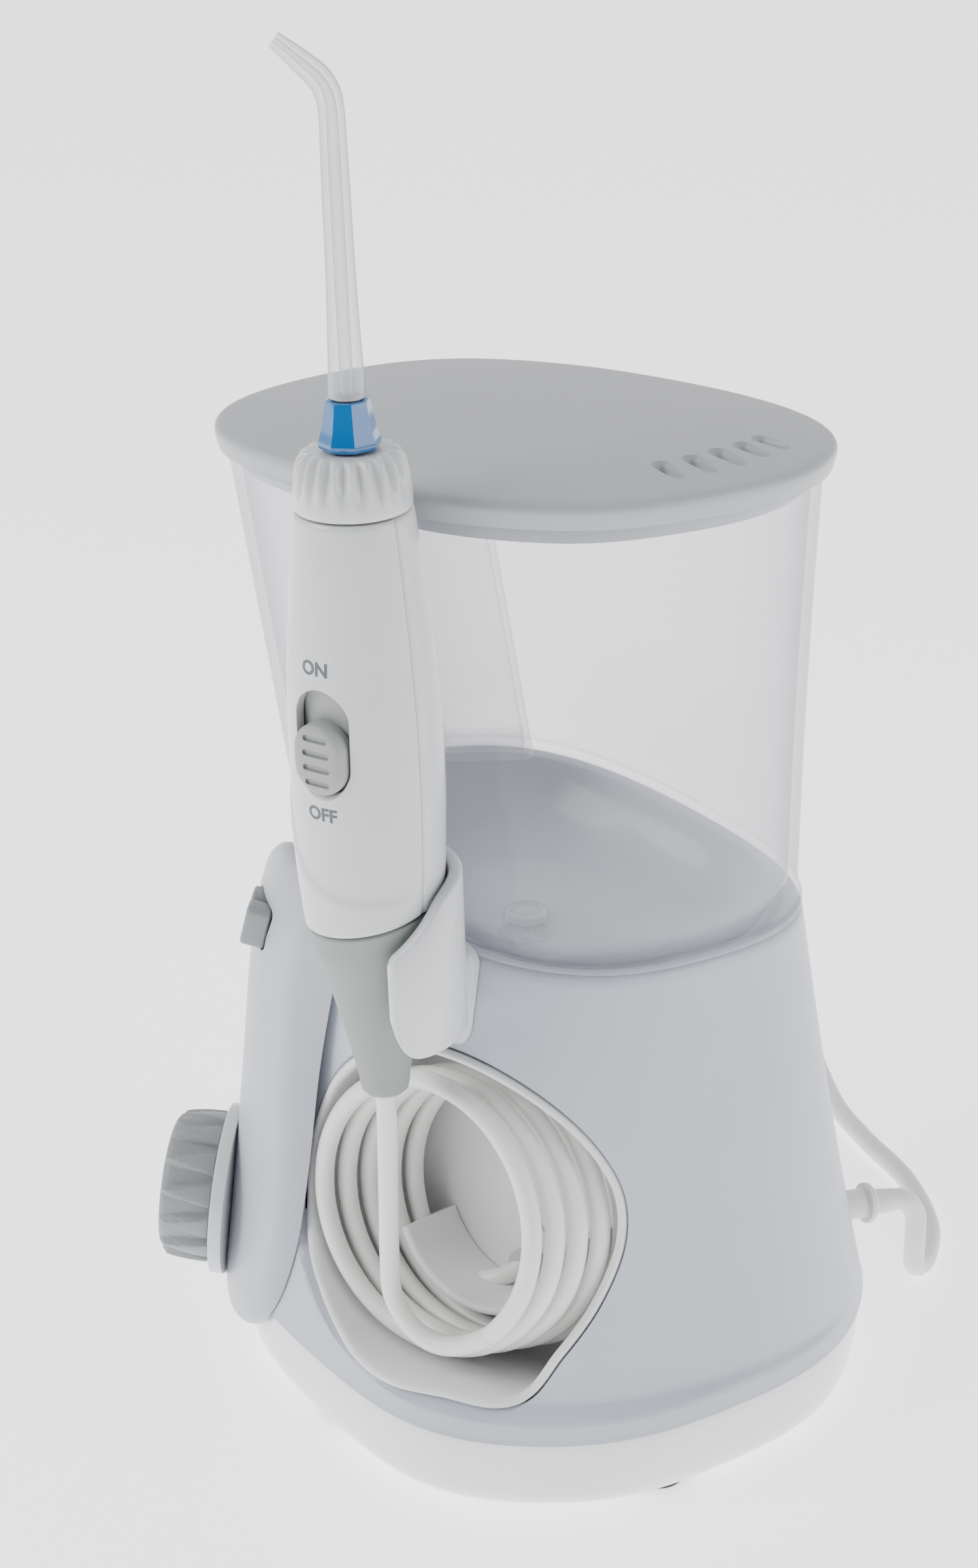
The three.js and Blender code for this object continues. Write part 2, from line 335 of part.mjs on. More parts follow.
// water way and shut-off inside the handle
add('handle_core', H(cut(turned([[0, -1], [5.5, -1], [5.5, 22], [4.2, 24], [4.2, 50], [5.5, 52], [5.5, 75.4], [3.2, 76.4], [3.2, 79.2], [0, 79.2]], 20), underJoint)), 'inner');
const sliderGeo = join(
  placed(slab(capsule(8.6, 11.6, 6), 4.6, 0.5), new THREE.Matrix4().makeBasis(V(0, 1, 0), V(0, 0, 1), V(1, 0, 0)).setPosition(V(9.4, 0, SLOT_Z - 2.6))),
  box(6.2, 9.8, -2.5, 2.5, SLOT_Z - 5.6, SLOT_Z + 0.4));
add('flow_slider', H(sliderGeo), 'cone');
// tip rotator with scalloped rim
const ROT = [[77.7, 9.7, 9.7], [80, 9.5, 9.6], [84.4, 8.1, 9.1], [86.3, 7.5, 8.6], [87.0, 6.7, 7.2]];
const rotLoft = loft(ROT.map(([z, a, b]) => Array.from({ length: 60 }, (_, i) => { const w = 0.5 + 0.5 * Math.cos(2 * Math.PI * i * 20 / 60), r = lerp(a, b, w); return V(r * Math.cos(2 * Math.PI * i / 60), r * Math.sin(2 * Math.PI * i / 60), z); })));
const rotator = cut(rotLoft, turned([[0, 70], [3.7, 70], [3.7, 79.7], [2.4, 80.3], [2.4, 95], [0, 95]], 24));
add('tip_rotator', H(rotator), 'handle');
add('tip_collar', H(cut(turned([[0, 87.3], [4.75, 87.3], [4.85, 88.4], [4.6, 89.3], [4.2, 90.6], [3.3, 95.2], [0, 95.2]], 8), disc(2.55, 80, 100, 20))), 'blue');
const TIP = [[[0, 0, 79.8], 2.0], [[0, 0, 88], 2.1], [[0, 0, 95.3], 2.2], [[0, 0, 95.7], 2.95], [[0, 0, 104], 2.7], [[0, 0, 114], 2.4], [[0, 0, 127], 2.2], [[0, 0, 138.4], 2.05], [[0.2, 0, 141.4], 2.0], [[0.9, 0, 143.5], 2.0], [[2.1, 0, 145.2], 1.95], [[5.0, 0, 147.9], 1.65], [[8.0, 0, 150.4], 1.25]];
const TIP_BEND_AZ = -85 - FACE_AZ;       // bend direction, about the handle axis
function tipRing(i, scale = 1, seg = 10) {
  const p = V(...TIP[i][0]), a = V(...TIP[Math.max(0, i - 1)][0]), b = V(...TIP[Math.min(TIP.length - 1, i + 1)][0]);
  const d = b.sub(a).normalize(), u = V(0, 1, 0), w = u.clone().cross(d).normalize();
  return Array.from({ length: seg }, (_, k) => { const t = 2 * Math.PI * k / seg; return p.clone().addScaledVector(w, Math.cos(t) * TIP[i][1] * scale).addScaledVector(u, Math.sin(t) * TIP[i][1] * scale); });
}
const tipOuter = loft(TIP.map((_, i) => tipRing(i)));
add('jet_tip', H(placed(tipOuter, new THREE.Matrix4().makeRotationZ(rad(TIP_BEND_AZ)))), 'clear');

// ---- water hose ----------------------------------------------------------------------------------------------
const D3 = (a) => V(...a);
const wellPoint = (a, b, d) => V(a, b, d).applyMatrix4(WELL_M).toArray();
const coneEnd = V(0, 0, -31.5).applyMatrix4(HANDLE_M);
const runPts = [coneEnd.toArray(), [coneEnd.x, coneEnd.y + 0.05, coneEnd.z - 12], [coneEnd.x + 0.2, coneEnd.y + 0.4, coneEnd.z - 27], [coneEnd.x + 0.8, coneEnd.y + 1.6, coneEnd.z - 40], [coneEnd.x + 2.3, coneEnd.y + 4.8, coneEnd.z - 50.5]];
add('hose_run', sweep(runPts, HOSE_D / 2, 8, 8), 'hose');
// the coil: a ring whose turns drift sideways as they go into the well
const shear = new THREE.Matrix4().set(1, 0, -0.32, 0, 0, 1, 0, 0, 0, 0, 1, 0, 0, 0, 0, 1);
add('hose_coil', placed(tubeRing(HOSE_TURN_R - 1.5, HOSE_TURN_R + 1.5, -20.5, -2.6, 32), new THREE.Matrix4().copy(WELL_M).multiply(shear)), 'hose');

// ---- reservoir -----------------------------------------------------------------------------------------------
const tankLevels = [0, 0.04, 0.35, 0.7, 1];
const tankRing = (t, grow) => ring(a => {
  const cx = lerp(C_RIM[0], C_LID[0], t), cy = lerp(C_RIM[1], C_LID[1], t);
  const r = lerp(sample(R_RIM, a) - (t === 0 ? 0 : 0.9), sample(R_LID, a) - 2.2, Math.max(0, t)) + grow;
  const x = cx + r * Math.cos(rad(a)), y = cy + r * Math.sin(rad(a));
  return V(x, y, lerp(rimZ(x, y) + GAP, TANK_TOP_Z, t));
});
const bowlRings = (extra, floorZ, lift) => [...BOWL].reverse().map(([h, inset]) => ring(a => {
  const k = inset / 15, cx = lerp(C_RIM[0], C_FLOOR[0], k), cy = lerp(C_RIM[1], C_FLOOR[1], k);
  const r = sample(R_RIM, a) - 3.2 - inset - extra, x = cx + r * Math.cos(rad(a)), y = cy + r * Math.sin(rad(a));
  return V(x, y, lerp(floorZ, rimZ(x, y) + lift, h));
}));
const tankOuter = loft([...bowlRings(0.5, SEAT_FLOOR_Z + 0.9, GAP), tankRing(0, 0), tankRing(0, 0).map(p => V(p.x, p.y, p.z + 1.8)), ...tankLevels.slice(1).map(t => tankRing(Math.max(t, 0.045), 0))]);
const tankInner = loft([...bowlRings(2.4, TANK_FLOOR_Z, 1.2), ...[0.06, 0.35, 0.7, 1].map(t => tankRing(t, -TANK_WALL)), tankRing(1, -TANK_WALL).map(p => V(p.x, p.y, p.z + 4))]);
let tank = cut(tankOuter, tankInner, disc(3.3, 80, 110, 24).translate(VALVE[0], VALVE[1], 0));
add('reservoir', tank, 'clear');
// drain valve: mushroom head inside the reservoir, stem through its floor
add('reservoir_valve', turned([[0, 91.0], [1.4, 91.0], [1.4, TANK_FLOOR_Z + 0.5], [4.5, TANK_FLOOR_Z + 0.5], [4.1, TANK_FLOOR_Z + 1.6], [0, TANK_FLOOR_Z + 2.2]], 24).translate(VALVE[0], VALVE[1], 0), 'clear');
add('seat_port', cut(turned([[0, 84], [3.6, 84], [3.6, 88], [4.8, 88.2], [4.8, 91.2], [4.2, 92.0], [0, 92.0]], 16), turned([[0, 80], [1.9, 80], [1.9, 90.0], [2.6, 95], [0, 95]], 16)).translate([VALVE[0], VALVE[1], 0]), 'rubber');
// tip pocket: open-topped box at the front end of the reservoir, its outer sides following the reservoir wall
const trayRing = (z, cx, cy, w, d, e) => roundRect(w - 2 * e, d - 2 * e, 2.5 - e, 3).map(([x, y]) => V(cx + x * Math.cos(rad(8)) - y * Math.sin(rad(8)), cy + x * Math.sin(rad(8)) + y * Math.cos(rad(8)), z));
const trayLoft = (e, z0, z1) => loft([0, 1].map(k => { const z = k ? z1 : z0, t = (z - 106) / 75; return trayRing(z, lerp(-37.5, -33.5, t), lerp(-13, -27.5, t), lerp(15, 17, t), lerp(18, 22, t), e); }));
const tankInside = (g) => loft([0.06, 0.35, 0.7, 1].map(t => tankRing(t, -TANK_WALL - g)));
add('tip_tray', cut(common(trayLoft(0, 114.0, 180.5), tankInside(0.4)), common(trayLoft(1.4, 115.6, 190), loft([0.06, 0.35, 0.7, 1].map(t => tankRing(t, -TANK_WALL - 1.8)).concat([tankRing(1, -TANK_WALL - 1.8).map(p => V(p.x, p.y, p.z + 6))])))), 'clear');

// ---- lid -----------------------------------------------------------------------------------------------------
const lidRing = (z, inset) => outline(C_LID, R_LID, z, inset);
const lidOuter = loft([lidRing(LID_Z - 3.9, 5.0), lidRing(LID_Z, 4.7), lidRing(LID_Z, 1.0), lidRing(LID_Z + 2.6, 0.1), lidRing(LID_Z + 3.8, 0.3), lidRing(LID_Z + 5.0, 3), lidRing(LID_Z + 6.2, 20)]);
const lidHollow = loft([lidRing(LID_Z - 6, 7.0), lidRing(LID_Z + 2.3, 7.0), lidRing(LID_Z + 3.4, 14)]);
const VENTS = [[[16.2, 19.1], [22.0, 22.9]], [[12.5, 24.1], [18.5, 28.4]], [[8.6, 28.4], [14.2, 33.3]], [[4.3, 32.4], [9.3, 37.2]], [[0.3, 35.4], [4.2, 40.8]]];
const ventCut = ([p, q]) => { const cx = (p[0] + q[0]) / 2, cy = (p[1] + q[1]) / 2, l = Math.hypot(q[0] - p[0], q[1] - p[1]); return slab(capsule(2.4, l, 4), 20).applyMatrix4(new THREE.Matrix4().makeRotationZ(Math.atan2(q[1] - p[1], q[0] - p[0]) - Math.PI / 2)).translate(cx, cy, 180); };
let lid = cut(lidOuter, lidHollow, ...VENTS.map(ventCut));
add('lid', lid, 'lid');

// ---- drive and pump ------------------------------------------------------------------------------------------
function gearOutline(teeth, m, bore) {
  const pts = [], rp = m * teeth / 2, ra = rp + 0.85 * m, rf = rp - 1.15 * m, p = 2 * Math.PI / teeth;
  for (let i = 0; i < teeth; i++) { const a = i * p; pts.push([rf, a - 0.30 * p], [ra, a - 0.11 * p], [ra, a + 0.11 * p], [rf, a + 0.30 * p]); }
  return pts.map(([r, a]) => [r * Math.cos(a), r * Math.sin(a)]);
}
const GEAR_R = MODULE * GEAR_TEETH / 2, PIN_R = MODULE * PINION_TEETH / 2, MESH_AZ = 45;
const MOTOR_C = [GEAR_C[0] + (GEAR_R + PIN_R + 0.15) * Math.cos(rad(MESH_AZ)), GEAR_C[1] + (GEAR_R + PIN_R + 0.15) * Math.sin(rad(MESH_AZ))];
const GEAR_Z = 52.5;
const gear = cut(slab(gearOutline(GEAR_TEETH, MODULE), 5).translate(0, 0, GEAR_Z), disc(2.2, 40, 70, 20));
add('drive_gear', gear, 'inner', flosser, [GEAR_C[0], GEAR_C[1], 0], new THREE.Quaternion().setFromAxisAngle(V(0, 0, 1), rad(MESH_AZ)));
const pinion = join(slab(gearOutline(PINION_TEETH, MODULE), 5.6).translate(0, 0, GEAR_Z - 0.3), disc(1.15, 49.2, 53, 16));
add('motor_pinion', pinion, 'brass', flosser, [MOTOR_C[0], MOTOR_C[1], 0], new THREE.Quaternion().setFromAxisAngle(V(0, 0, 1), rad(MESH_AZ + 180 + 180 / PINION_TEETH)));
add('crank_pin', disc(1.5, GEAR_Z + 5.3, GEAR_Z + 7.4, 16), 'steel', flosser, [GEAR_C[0], GEAR_C[1] + CRANK_R, 0]);
// the frame that carries motor, gear and pump
const frameBottom = 47.2;
const FRAME_PTS = [[-34, -30], [-12, -30], [-10, -14], [-4, 6], [8, 24], [14, 38], [14, 46], [-16, 44], [-32, 30], [-38, 6], [-36, -20]];
let chassis = join(slab(FRAME_PTS, 2.2).translate(0, 0, frameBottom - 2.2), disc(3.2, frameBottom - 4, frameBottom + 1.6, 20).translate(GEAR_C[0], GEAR_C[1], 0));
for (const [x, y] of [[-33, -26], [-32, 25], [10.6, 42.4]]) chassis = join(chassis, disc(2.8, 4.6, frameBottom, 14).translate(x, y, 0));
chassis = cut(chassis, disc(1.8, 30, 60, 20).translate(GEAR_C[0], GEAR_C[1], 0), disc(3.6, 30, 60, 20).translate(MOTOR_C[0], MOTOR_C[1], 0));
add('pump_frame', chassis, 'inner');
add('gear_axle', turned([[0, frameBottom - 3.4], [1.5, frameBottom - 3.4], [1.5, GEAR_Z + 5], [0, GEAR_Z + 5]], 16).translate(GEAR_C[0], GEAR_C[1], 0), 'steel');
add('motor', turned([[0, 8], [11, 8], [12.8, 9.5], [12.8, 42.5], [11, 44], [3.2, 44], [3.2, 46.4], [2.2, 48.8], [0, 48.8]], 20), 'steel', flosser, [MOTOR_C[0], MOTOR_C[1], 0]);
const ROD_PIN_Y = -14.0;
const alongY = new THREE.Matrix4().makeRotationX(Math.PI / 2);      // local +Z becomes -Y
const pumpAt = (g) => placed(g, new THREE.Matrix4().makeTranslation(PUMP_X, 0, PUMP_Z).multiply(alongY));
add('pump_cylinder', pumpAt(cut(turned([[0, 14], [6.2, 14], [6.2, 30], [7.4, 30], [7.4, 36], [0, 36]], 28), disc(4.3, 5, 33.5, 24), disc(1.6, 30, 40, 12))), 'inner');
add('pump_head', pumpAt(cut(slab(roundRect(13, 13, 2), 5).translate(0, 0, 36.3), disc(1.6, 30, 39, 12))), 'inner');
add('pump_piston', join(pumpAt(cut(turned([[0, 10.6], [3, 10.6], [3, 18], [4.0, 18.3], [4.0, 25], [0, 25]], 20), box(-5, 5, -1.9, 1.9, 5, 17.6))), disc(1.1, PUMP_Z - 2.4, PUMP_Z + 2.4, 12).translate(PUMP_X, ROD_PIN_Y, 0)), 'inner');
// connecting rod above the crank pin, its big end open
const rodZ = GEAR_Z + 7.8;
const rodLen = GEAR_C[1] + CRANK_R - ROD_PIN_Y;
add('connecting_rod', cut(join(slab([[-1.3, 2], [-1.3, rodLen - 2.6], [1.3, rodLen - 2.6], [1.3, 2]], 2.6).translate(0, 0, rodZ), disc(2.8, rodZ, rodZ + 2.6, 16), disc(3.6, rodZ, rodZ + 2.6, 20).translate(0, rodLen, 0)), disc(1.5, 0, 100, 12), disc(1.9, 0, 100, 12).translate(0, rodLen, 0)).translate([PUMP_X, ROD_PIN_Y, 0]), 'steel');

// ---- tubes, board and gland ----------------------------------------------------------------------------------
add('inlet_tube', sweep([[VALVE[0], VALVE[1], 83.6], [VALVE[0], VALVE[1], 81.5], [VALVE[0] - 1.5, VALVE[1] - 1.5, 78], [-12, -16, 76], [-20, -28, 75], [PUMP_X, -33, 72.5], [PUMP_X, -33, 69.9]], 2.2, 8, 12), 'cord');
add('outlet_tube', sweep([[PUMP_X, -38.6, 55.0], [PUMP_X, -38.9, 50], [-20, -40, 41], [-15, -43, 35], [-12.8, -46.5, 32.2]], 2.0, 8, 10), 'cord');
add('circuit_board', box(-46.5, -44.9, -16, 14, 14, 44), 'board');
add('power_gland', placed(cut(turned([[0, -5], [3.0, -5], [3.0, 0.9], [4.1, 0.9], [4.1, 2.0], [3.5, 2.6], [0, 2.6]], 24), disc(2.2, -8, 8, 16)), GLAND_M), 'cord');
const along = (s) => [glandP[0] + glandDir[0] * s, glandP[1] + glandDir[1] * s, glandP[2] + glandDir[2] * s];
add('strain_relief', placed(turned([[0, -4], [1.9, -4], [1.9, 2.9], [2.6, 2.9], [2.6, 4], [2.3, 8], [0, 8]], 20), GLAND_M), 'cord');
const COIL_C = [-104, 14];
const down = (s, z) => { const p = along(s); return [p[0], p[1], p[2] - z]; };
const CORD_PTS = [along(8.45), along(9.4), down(11.6, 1.3), down(13.4, 4.6), down(13.7, 10), [-23.5, 76.5, 5.2], [-30, 79.5, 2.7], [-43, 81, 2.3], [-60, 77, 2.3], [-75, 69, 2.3], [-90, 62.5, 2.3], [-103, 59.3, 2.3]];
add('cord_lead', sweep(CORD_PTS, CORD_D / 2, 8, 14), 'cord');
add('cord_coil', tubeRing(27.3, 41.5, 0.1, 9.2, 32).translate(COIL_C[0], COIL_C[1], 0), 'cord');
const PLUG_M = new THREE.Matrix4().makeRotationZ(Math.PI).setPosition(V(-87, -44, 8.4));
add('plug_body', placed(slab([[0, -9], [22, -9], [27, -4.5], [36, -3.2], [36, 3.2], [27, 4.5], [22, 9], [0, 9]], 14, 1.2).translate(0, 0, -7), PLUG_M), 'cord');
[-6.35, 6.35].forEach((y, i) => add(['plug_blade_a', 'plug_blade_b'][i], placed(box(-18.0, -1.6, y - 0.75, y + 0.75, -3.15, 3.15), PLUG_M), 'brass'));

export default flosser;
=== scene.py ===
import bpy, math, random
import numpy as np
from mathutils import Vector, Matrix


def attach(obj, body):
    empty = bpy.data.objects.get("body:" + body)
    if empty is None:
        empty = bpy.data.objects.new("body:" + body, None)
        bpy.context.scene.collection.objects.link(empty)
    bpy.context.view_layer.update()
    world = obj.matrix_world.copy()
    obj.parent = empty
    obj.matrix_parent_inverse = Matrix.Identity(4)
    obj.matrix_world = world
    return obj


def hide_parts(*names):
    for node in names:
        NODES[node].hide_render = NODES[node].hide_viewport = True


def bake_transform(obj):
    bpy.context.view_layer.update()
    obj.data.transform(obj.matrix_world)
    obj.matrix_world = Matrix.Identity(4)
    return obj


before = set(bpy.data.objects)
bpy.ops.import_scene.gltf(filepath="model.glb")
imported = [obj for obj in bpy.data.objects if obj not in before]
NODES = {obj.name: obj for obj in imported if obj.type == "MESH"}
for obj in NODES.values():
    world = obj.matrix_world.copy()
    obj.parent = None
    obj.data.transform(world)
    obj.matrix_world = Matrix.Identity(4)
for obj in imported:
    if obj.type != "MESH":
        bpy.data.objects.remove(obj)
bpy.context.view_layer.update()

CX, CY = -1.6, 4.35          # the model's own numbers are about a point this far from the row's origin
rad = math.radians

# ------------------------------------------------------------------ shape data (mm)
R_SEAM = [57.7, 57.4, 56.9, 57.3, 60.2, 62.0, 62.4, 61.2, 58.8, 56.9, 56.0, 55.8, 56.0, 56.2, 56.5, 57.2, 59.0, 61.3, 62.5, 59.6, 56.5, 55.3, 57.0, 58.3]
R_RIM = [43.2, 45.0, 45.6, 46.8, 49.2, 49.4, 44.4, 38.4, 34.6, 33.0, 33.2, 35.0, 38.0, 41.5, 44.0, 46.0, 47.8, 49.0, 48.6, 45.6, 41.0, 38.2, 38.6, 41.2]
R_LID = [42.4, 44.4, 46.0, 47.9, 51.4, 54.4, 55.1, 51.0, 45.8, 42.2, 40.6, 40.8, 42.2, 44.8, 47.3, 49.0, 51.2, 54.4, 55.1, 50.6, 44.4, 41.6, 41.2, 41.6]
C_SEAM, C_RIM, C_LID, C_FLOOR = (0.8, 1.5), (-9.0, 0.0), (-6.6, -5.5), (-6.0, 5.0)
SEAM_Z, RIM_Z, SEAT_Z, TANK_FLOOR, TANK_TOP, LID_Z, GAP = 19.0, 105.8, 91.8, 94.8, 185.6, 185.9, 0.3


def periodic(R):
    """smooth closed curve through the table, by its Fourier terms, so it has no kinks"""
    c = np.fft.rfft(R)
    n = len(R)
    def f(deg):
        a = np.radians(np.asarray(deg, float))
        r = np.full_like(a, c[0].real / n, dtype=float)
        for k in range(1, len(c)):
            w = 2.0 if k < n / 2 else 1.0
            damp = math.exp(-(k / 11.0) ** 4)
            r = r + w * damp * (c[k].real * np.cos(k * a) - c[k].imag * np.sin(k * a)) / n
        return r
    return f


seamR, rimR, lidR = periodic(R_SEAM), periodic(R_RIM), periodic(R_LID)
lerp = lambda a, b, t: a + (b - a) * t


def smooth(a, b, x):
    t = np.clip((np.asarray(x, float) - a) / (b - a), 0, 1)
    return t * t * (3 - 2 * t)


def rimz(x, y, z0=RIM_Z):
    return z0 - 0.085 * (x * math.cos(rad(35)) + y * math.sin(rad(35)))


EDGE_Z = [(-100, 114), (-88, 112), (-82, 104), (-76, 80), (-70, 57), (-62, 40), (-52, 30), (-40, 25.6), (-20, 23.8), (80, 23.5)]
EDGE_D = [(-92, 0), (-84, 1.6), (-76, 2.6), (-60, 3.0), (0, 2.7), (30, 2.2), (52, 1.1), (75, 0)]


def hermite(T, x):
    """smooth curve through a table that never overshoots (monotone cubic)"""
    X = np.array([p[0] for p in T], float)
    Y = np.array([p[1] for p in T], float)
    h = np.diff(X); s = np.diff(Y) / h
    m = np.zeros(len(X)); m[0], m[-1] = s[0], s[-1]
    for i in range(1, len(X) - 1):
        m[i] = 0 if s[i - 1] * s[i] <= 0 else 2 * s[i - 1] * s[i] / (s[i - 1] + s[i])
    x = np.clip(np.asarray(x, float), X[0], X[-1])
    i = np.clip(np.searchsorted(X, x) - 1, 0, len(X) - 2)
    t = (x - X[i]) / h[i]
    return ((2 * t ** 3 - 3 * t ** 2 + 1) * Y[i] + (t ** 3 - 2 * t ** 2 + t) * h[i] * m[i]
            + (-2 * t ** 3 + 3 * t ** 2) * Y[i + 1] + (t ** 3 - t ** 2) * h[i] * m[i + 1])


def step(deg, z):
    a = (np.asarray(deg, float) + 180) % 360 - 180
    d, e = hermite(EDGE_D, a), hermite(EDGE_Z, a)
    return d * smooth(e - 0.9, e + 0.9, z) * (1 - smooth(e, 118, z))


def house(deg, t, grow=0.0, stepped=True):
    """points of the housing's outside, arrays of shape (n, 3)"""
    deg = np.asarray(deg, float)
    cx, cy = lerp(C_SEAM[0], C_RIM[0], t), lerp(C_SEAM[1], C_RIM[1], t)
    r = lerp(seamR(deg), rimR(deg), t) + grow
    c, s = np.cos(np.radians(deg)), np.sin(np.radians(deg))
    z = lerp(SEAM_Z, rimz(cx + r * c, cy + r * s), t)
    if stepped:
        r = r - step(deg, z)
    return np.stack([cx + r * c, cy + r * s, z], -1)


def depth_inside(p, stepped=True, grow=0.0):
    """how far the point is inside the housing's outside, along the radius"""
    x, y, z = p
    t = (z - SEAM_Z) / (rimz(x, y) - SEAM_Z)
    t = min(max(t, 0.0), 1.0)
    cx, cy = lerp(C_SEAM[0], C_RIM[0], t), lerp(C_SEAM[1], C_RIM[1], t)
    a = math.degrees(math.atan2(y - cy, x - cx))
    R = float(lerp(seamR(a), rimR(a), t)) + grow
    if stepped:
        R -= float(step(a, z))
    return R - math.hypot(x - cx, y - cy)


# ------------------------------------------------------------------ meshes
def make(name, verts, faces, mats, sharp=32, mat_index=None):
    v = np.asarray(verts, float) + np.array([CX, CY, 0.0])
    me = bpy.data.meshes.new(name)
    me.from_pydata([tuple(p) for p in v / 1000.0], [], faces)
    me.validate(clean_customdata=False)
    for m in mats if isinstance(mats, (list, tuple)) else [mats]:
        me.materials.append(m)
    if mat_index is not None:
        me.polygons.foreach_set("material_index", mat_index)
    ob = bpy.data.objects.new(name, me)
    bpy.context.scene.collection.objects.link(ob)
    soften(ob, sharp)
    return ob


def soften(ob, sharp=32):
    me = ob.data
    me.polygons.foreach_set("use_smooth", [True] * len(me.polygons))
    me.set_sharp_from_angle(angle=rad(sharp))
    me.update()


def shell(rings, cap0=True, cap1=True, wrap=False):
    """verts and faces of a stack of equal rings. wrap joins the last ring to the first."""
    n = len(rings[0]); V = [np.asarray(r, float) for r in rings]; F = []
    m = len(rings)
    for i in range(m if wrap else m - 1):
        k = (i + 1) % m
        for j in range(n):
            q = (j + 1) % n
            F.append((i * n + j, i * n + q, k * n + q, k * n + j))
    V = np.concatenate(V)
    if not wrap:
        if cap0:
            o = len(V); V = np.vstack([V, V[:n].mean(0)]); F += [(o, (j + 1) % n, j) for j in range(n)]
        if cap1:
            b = (m - 1) * n; o = len(V); V = np.vstack([V, V[b:b + n].mean(0)]); F += [(o, b + j, b + (j + 1) % n) for j in range(n)]
    return orient(V, F)


def orient(V, F):
    vol = 0.0
    for f in F:
        a = V[f[0]]
        for k in range(1, len(f) - 1):
            vol += np.dot(a, np.cross(V[f[k]], V[f[k + 1]]))
    return (V, [tuple(reversed(f)) for f in F]) if vol < 0 else (V, F)


def catmull(P, per=8, closed=False):
    P = [np.asarray(p, float) for p in P]; out = []
    n = len(P); last = n if closed else n - 1
    for i in range(last):
        p0 = P[(i - 1) % n] if closed or i > 0 else 2 * P[0] - P[1]
        p1, p2 = P[i], P[(i + 1) % n]
        p3 = P[(i + 2) % n] if closed or i + 2 < n else 2 * P[-1] - P[-2]
        for k in range(per):
            t = k / per
            out.append(0.5 * (2 * p1 + (p2 - p0) * t + (2 * p0 - 5 * p1 + 4 * p2 - p3) * t * t + (3 * p1 - p0 - 3 * p2 + p3) * t ** 3))
    if not closed:
        out.append(P[-1])
    return np.array(out)


def fillet(points, r, seg=4):
    """rounds the corners of an open profile. r is one radius or one per point."""
    P = [np.asarray(p, float) for p in points]; R = [r] * len(P) if np.isscalar(r) else list(r); out = [P[0]]
    for i in range(1, len(P) - 1):
        a, b, c = P[i - 1], P[i], P[i + 1]
        u, v = a - b, c - b; lu, lv = np.linalg.norm(u), np.linalg.norm(v)
        if R[i] <= 0 or lu < 1e-9 or lv < 1e-9:
            out.append(b); continue
        u, v = u / lu, v / lv
        ang = math.acos(max(-1, min(1, float(u @ v))))
        if ang > math.pi - 0.05:
            out.append(b); continue
        d = min(R[i] / math.tan(ang / 2), lu * 0.48, lv * 0.48)
        p, q = b + u * d, b + v * d
        for k in range(seg + 1):
            t = k / seg
            out.append((1 - t) ** 2 * p + 2 * t * (1 - t) * b + t * t * q)
    out.append(P[-1])
    return np.array(out)


def lathe(profile, seg=96, sub=None):
    """solid about Z from an open profile of (r, z) that starts and ends on the axis"""
    rings = []; a = np.radians(np.arange(seg) * 360 / seg)
    prof = [p for p in profile]
    for r, z in prof:
        rings.append(np.stack([max(r, 1e-4) * np.cos(a), max(r, 1e-4) * np.sin(a), np.full(seg, z)], -1))
    return shell(rings)


def lathe_ring(profile, seg=96):
    """solid about Z from a closed profile of (r, z)"""
    a = np.radians(np.arange(seg) * 360 / seg)
    return shell([np.stack([r * np.cos(a), r * np.sin(a), np.full(seg, z)], -1) for r, z in profile], wrap=True)


def moved(vf, M):
    V, F = vf
    V = np.asarray(V) @ np.array(M.to_3x3()).T + np.array(M.translation)
    return orient(V, F)


def frame_at(origin, direction, hint=(0, 0, 1)):
    z = Vector(direction).normalized(); x = Vector(hint); x -= z * x.dot(z); x.normalize(); y = z.cross(x)
    M = Matrix.Identity(4)
    for i, c in enumerate((x, y, z)):
        M[0][i], M[1][i], M[2][i] = c
    M.translation = Vector(origin)
    return M


def prism(points, z0, z1, bevel=0.0, seg=3):
    """solid between z0 and z1 with a convex outline and rounded edges"""
    P = np.asarray(points, float); out = []
    c = P.mean(0)
    rr = [(0.0, z0)] if bevel <= 0 else [(bevel * (1 - math.sin(k / seg * math.pi / 2)), z0 + bevel * (1 - math.cos(k / seg * math.pi / 2))) for k in range(seg + 1)]
    prof = rr + ([(0.0, z1)] if bevel <= 0 else [(bevel * (1 - math.cos(k / seg * math.pi / 2)), z1 - bevel * (1 - math.sin(k / seg * math.pi / 2))) for k in range(seg + 1)])
    for ins, z in prof:
        q = inset(P, ins)
        out.append(np.column_stack([q, np.full(len(q), z)]))
    return shell(out)


def inset(P, d):
    if abs(d) < 1e-9:
        return P.copy()
    a, b = np.roll(P, 1, 0), np.roll(P, -1, 0); t = b - a; t /= np.linalg.norm(t, axis=1, keepdims=True)
    area = 0.5 * np.sum(P[:, 0] * np.roll(P[:, 1], -1) - np.roll(P[:, 0], -1) * P[:, 1])
    nrm = np.stack([t[:, 1], -t[:, 0]], -1) * (1 if area > 0 else -1)
    return P - nrm * d


def round_rect(w, h, r, k=8):
    pts = []
    for sx, sy, a0 in ((1, 1, 0), (-1, 1, 90), (-1, -1, 180), (1, -1, 270)):
        for i in range(k + 1):
            a = rad(a0 + 90 * i / k)
            pts.append((sx * (w / 2 - r) + r * math.cos(a), sy * (h / 2 - r) + r * math.sin(a)))
    return np.array(pts)


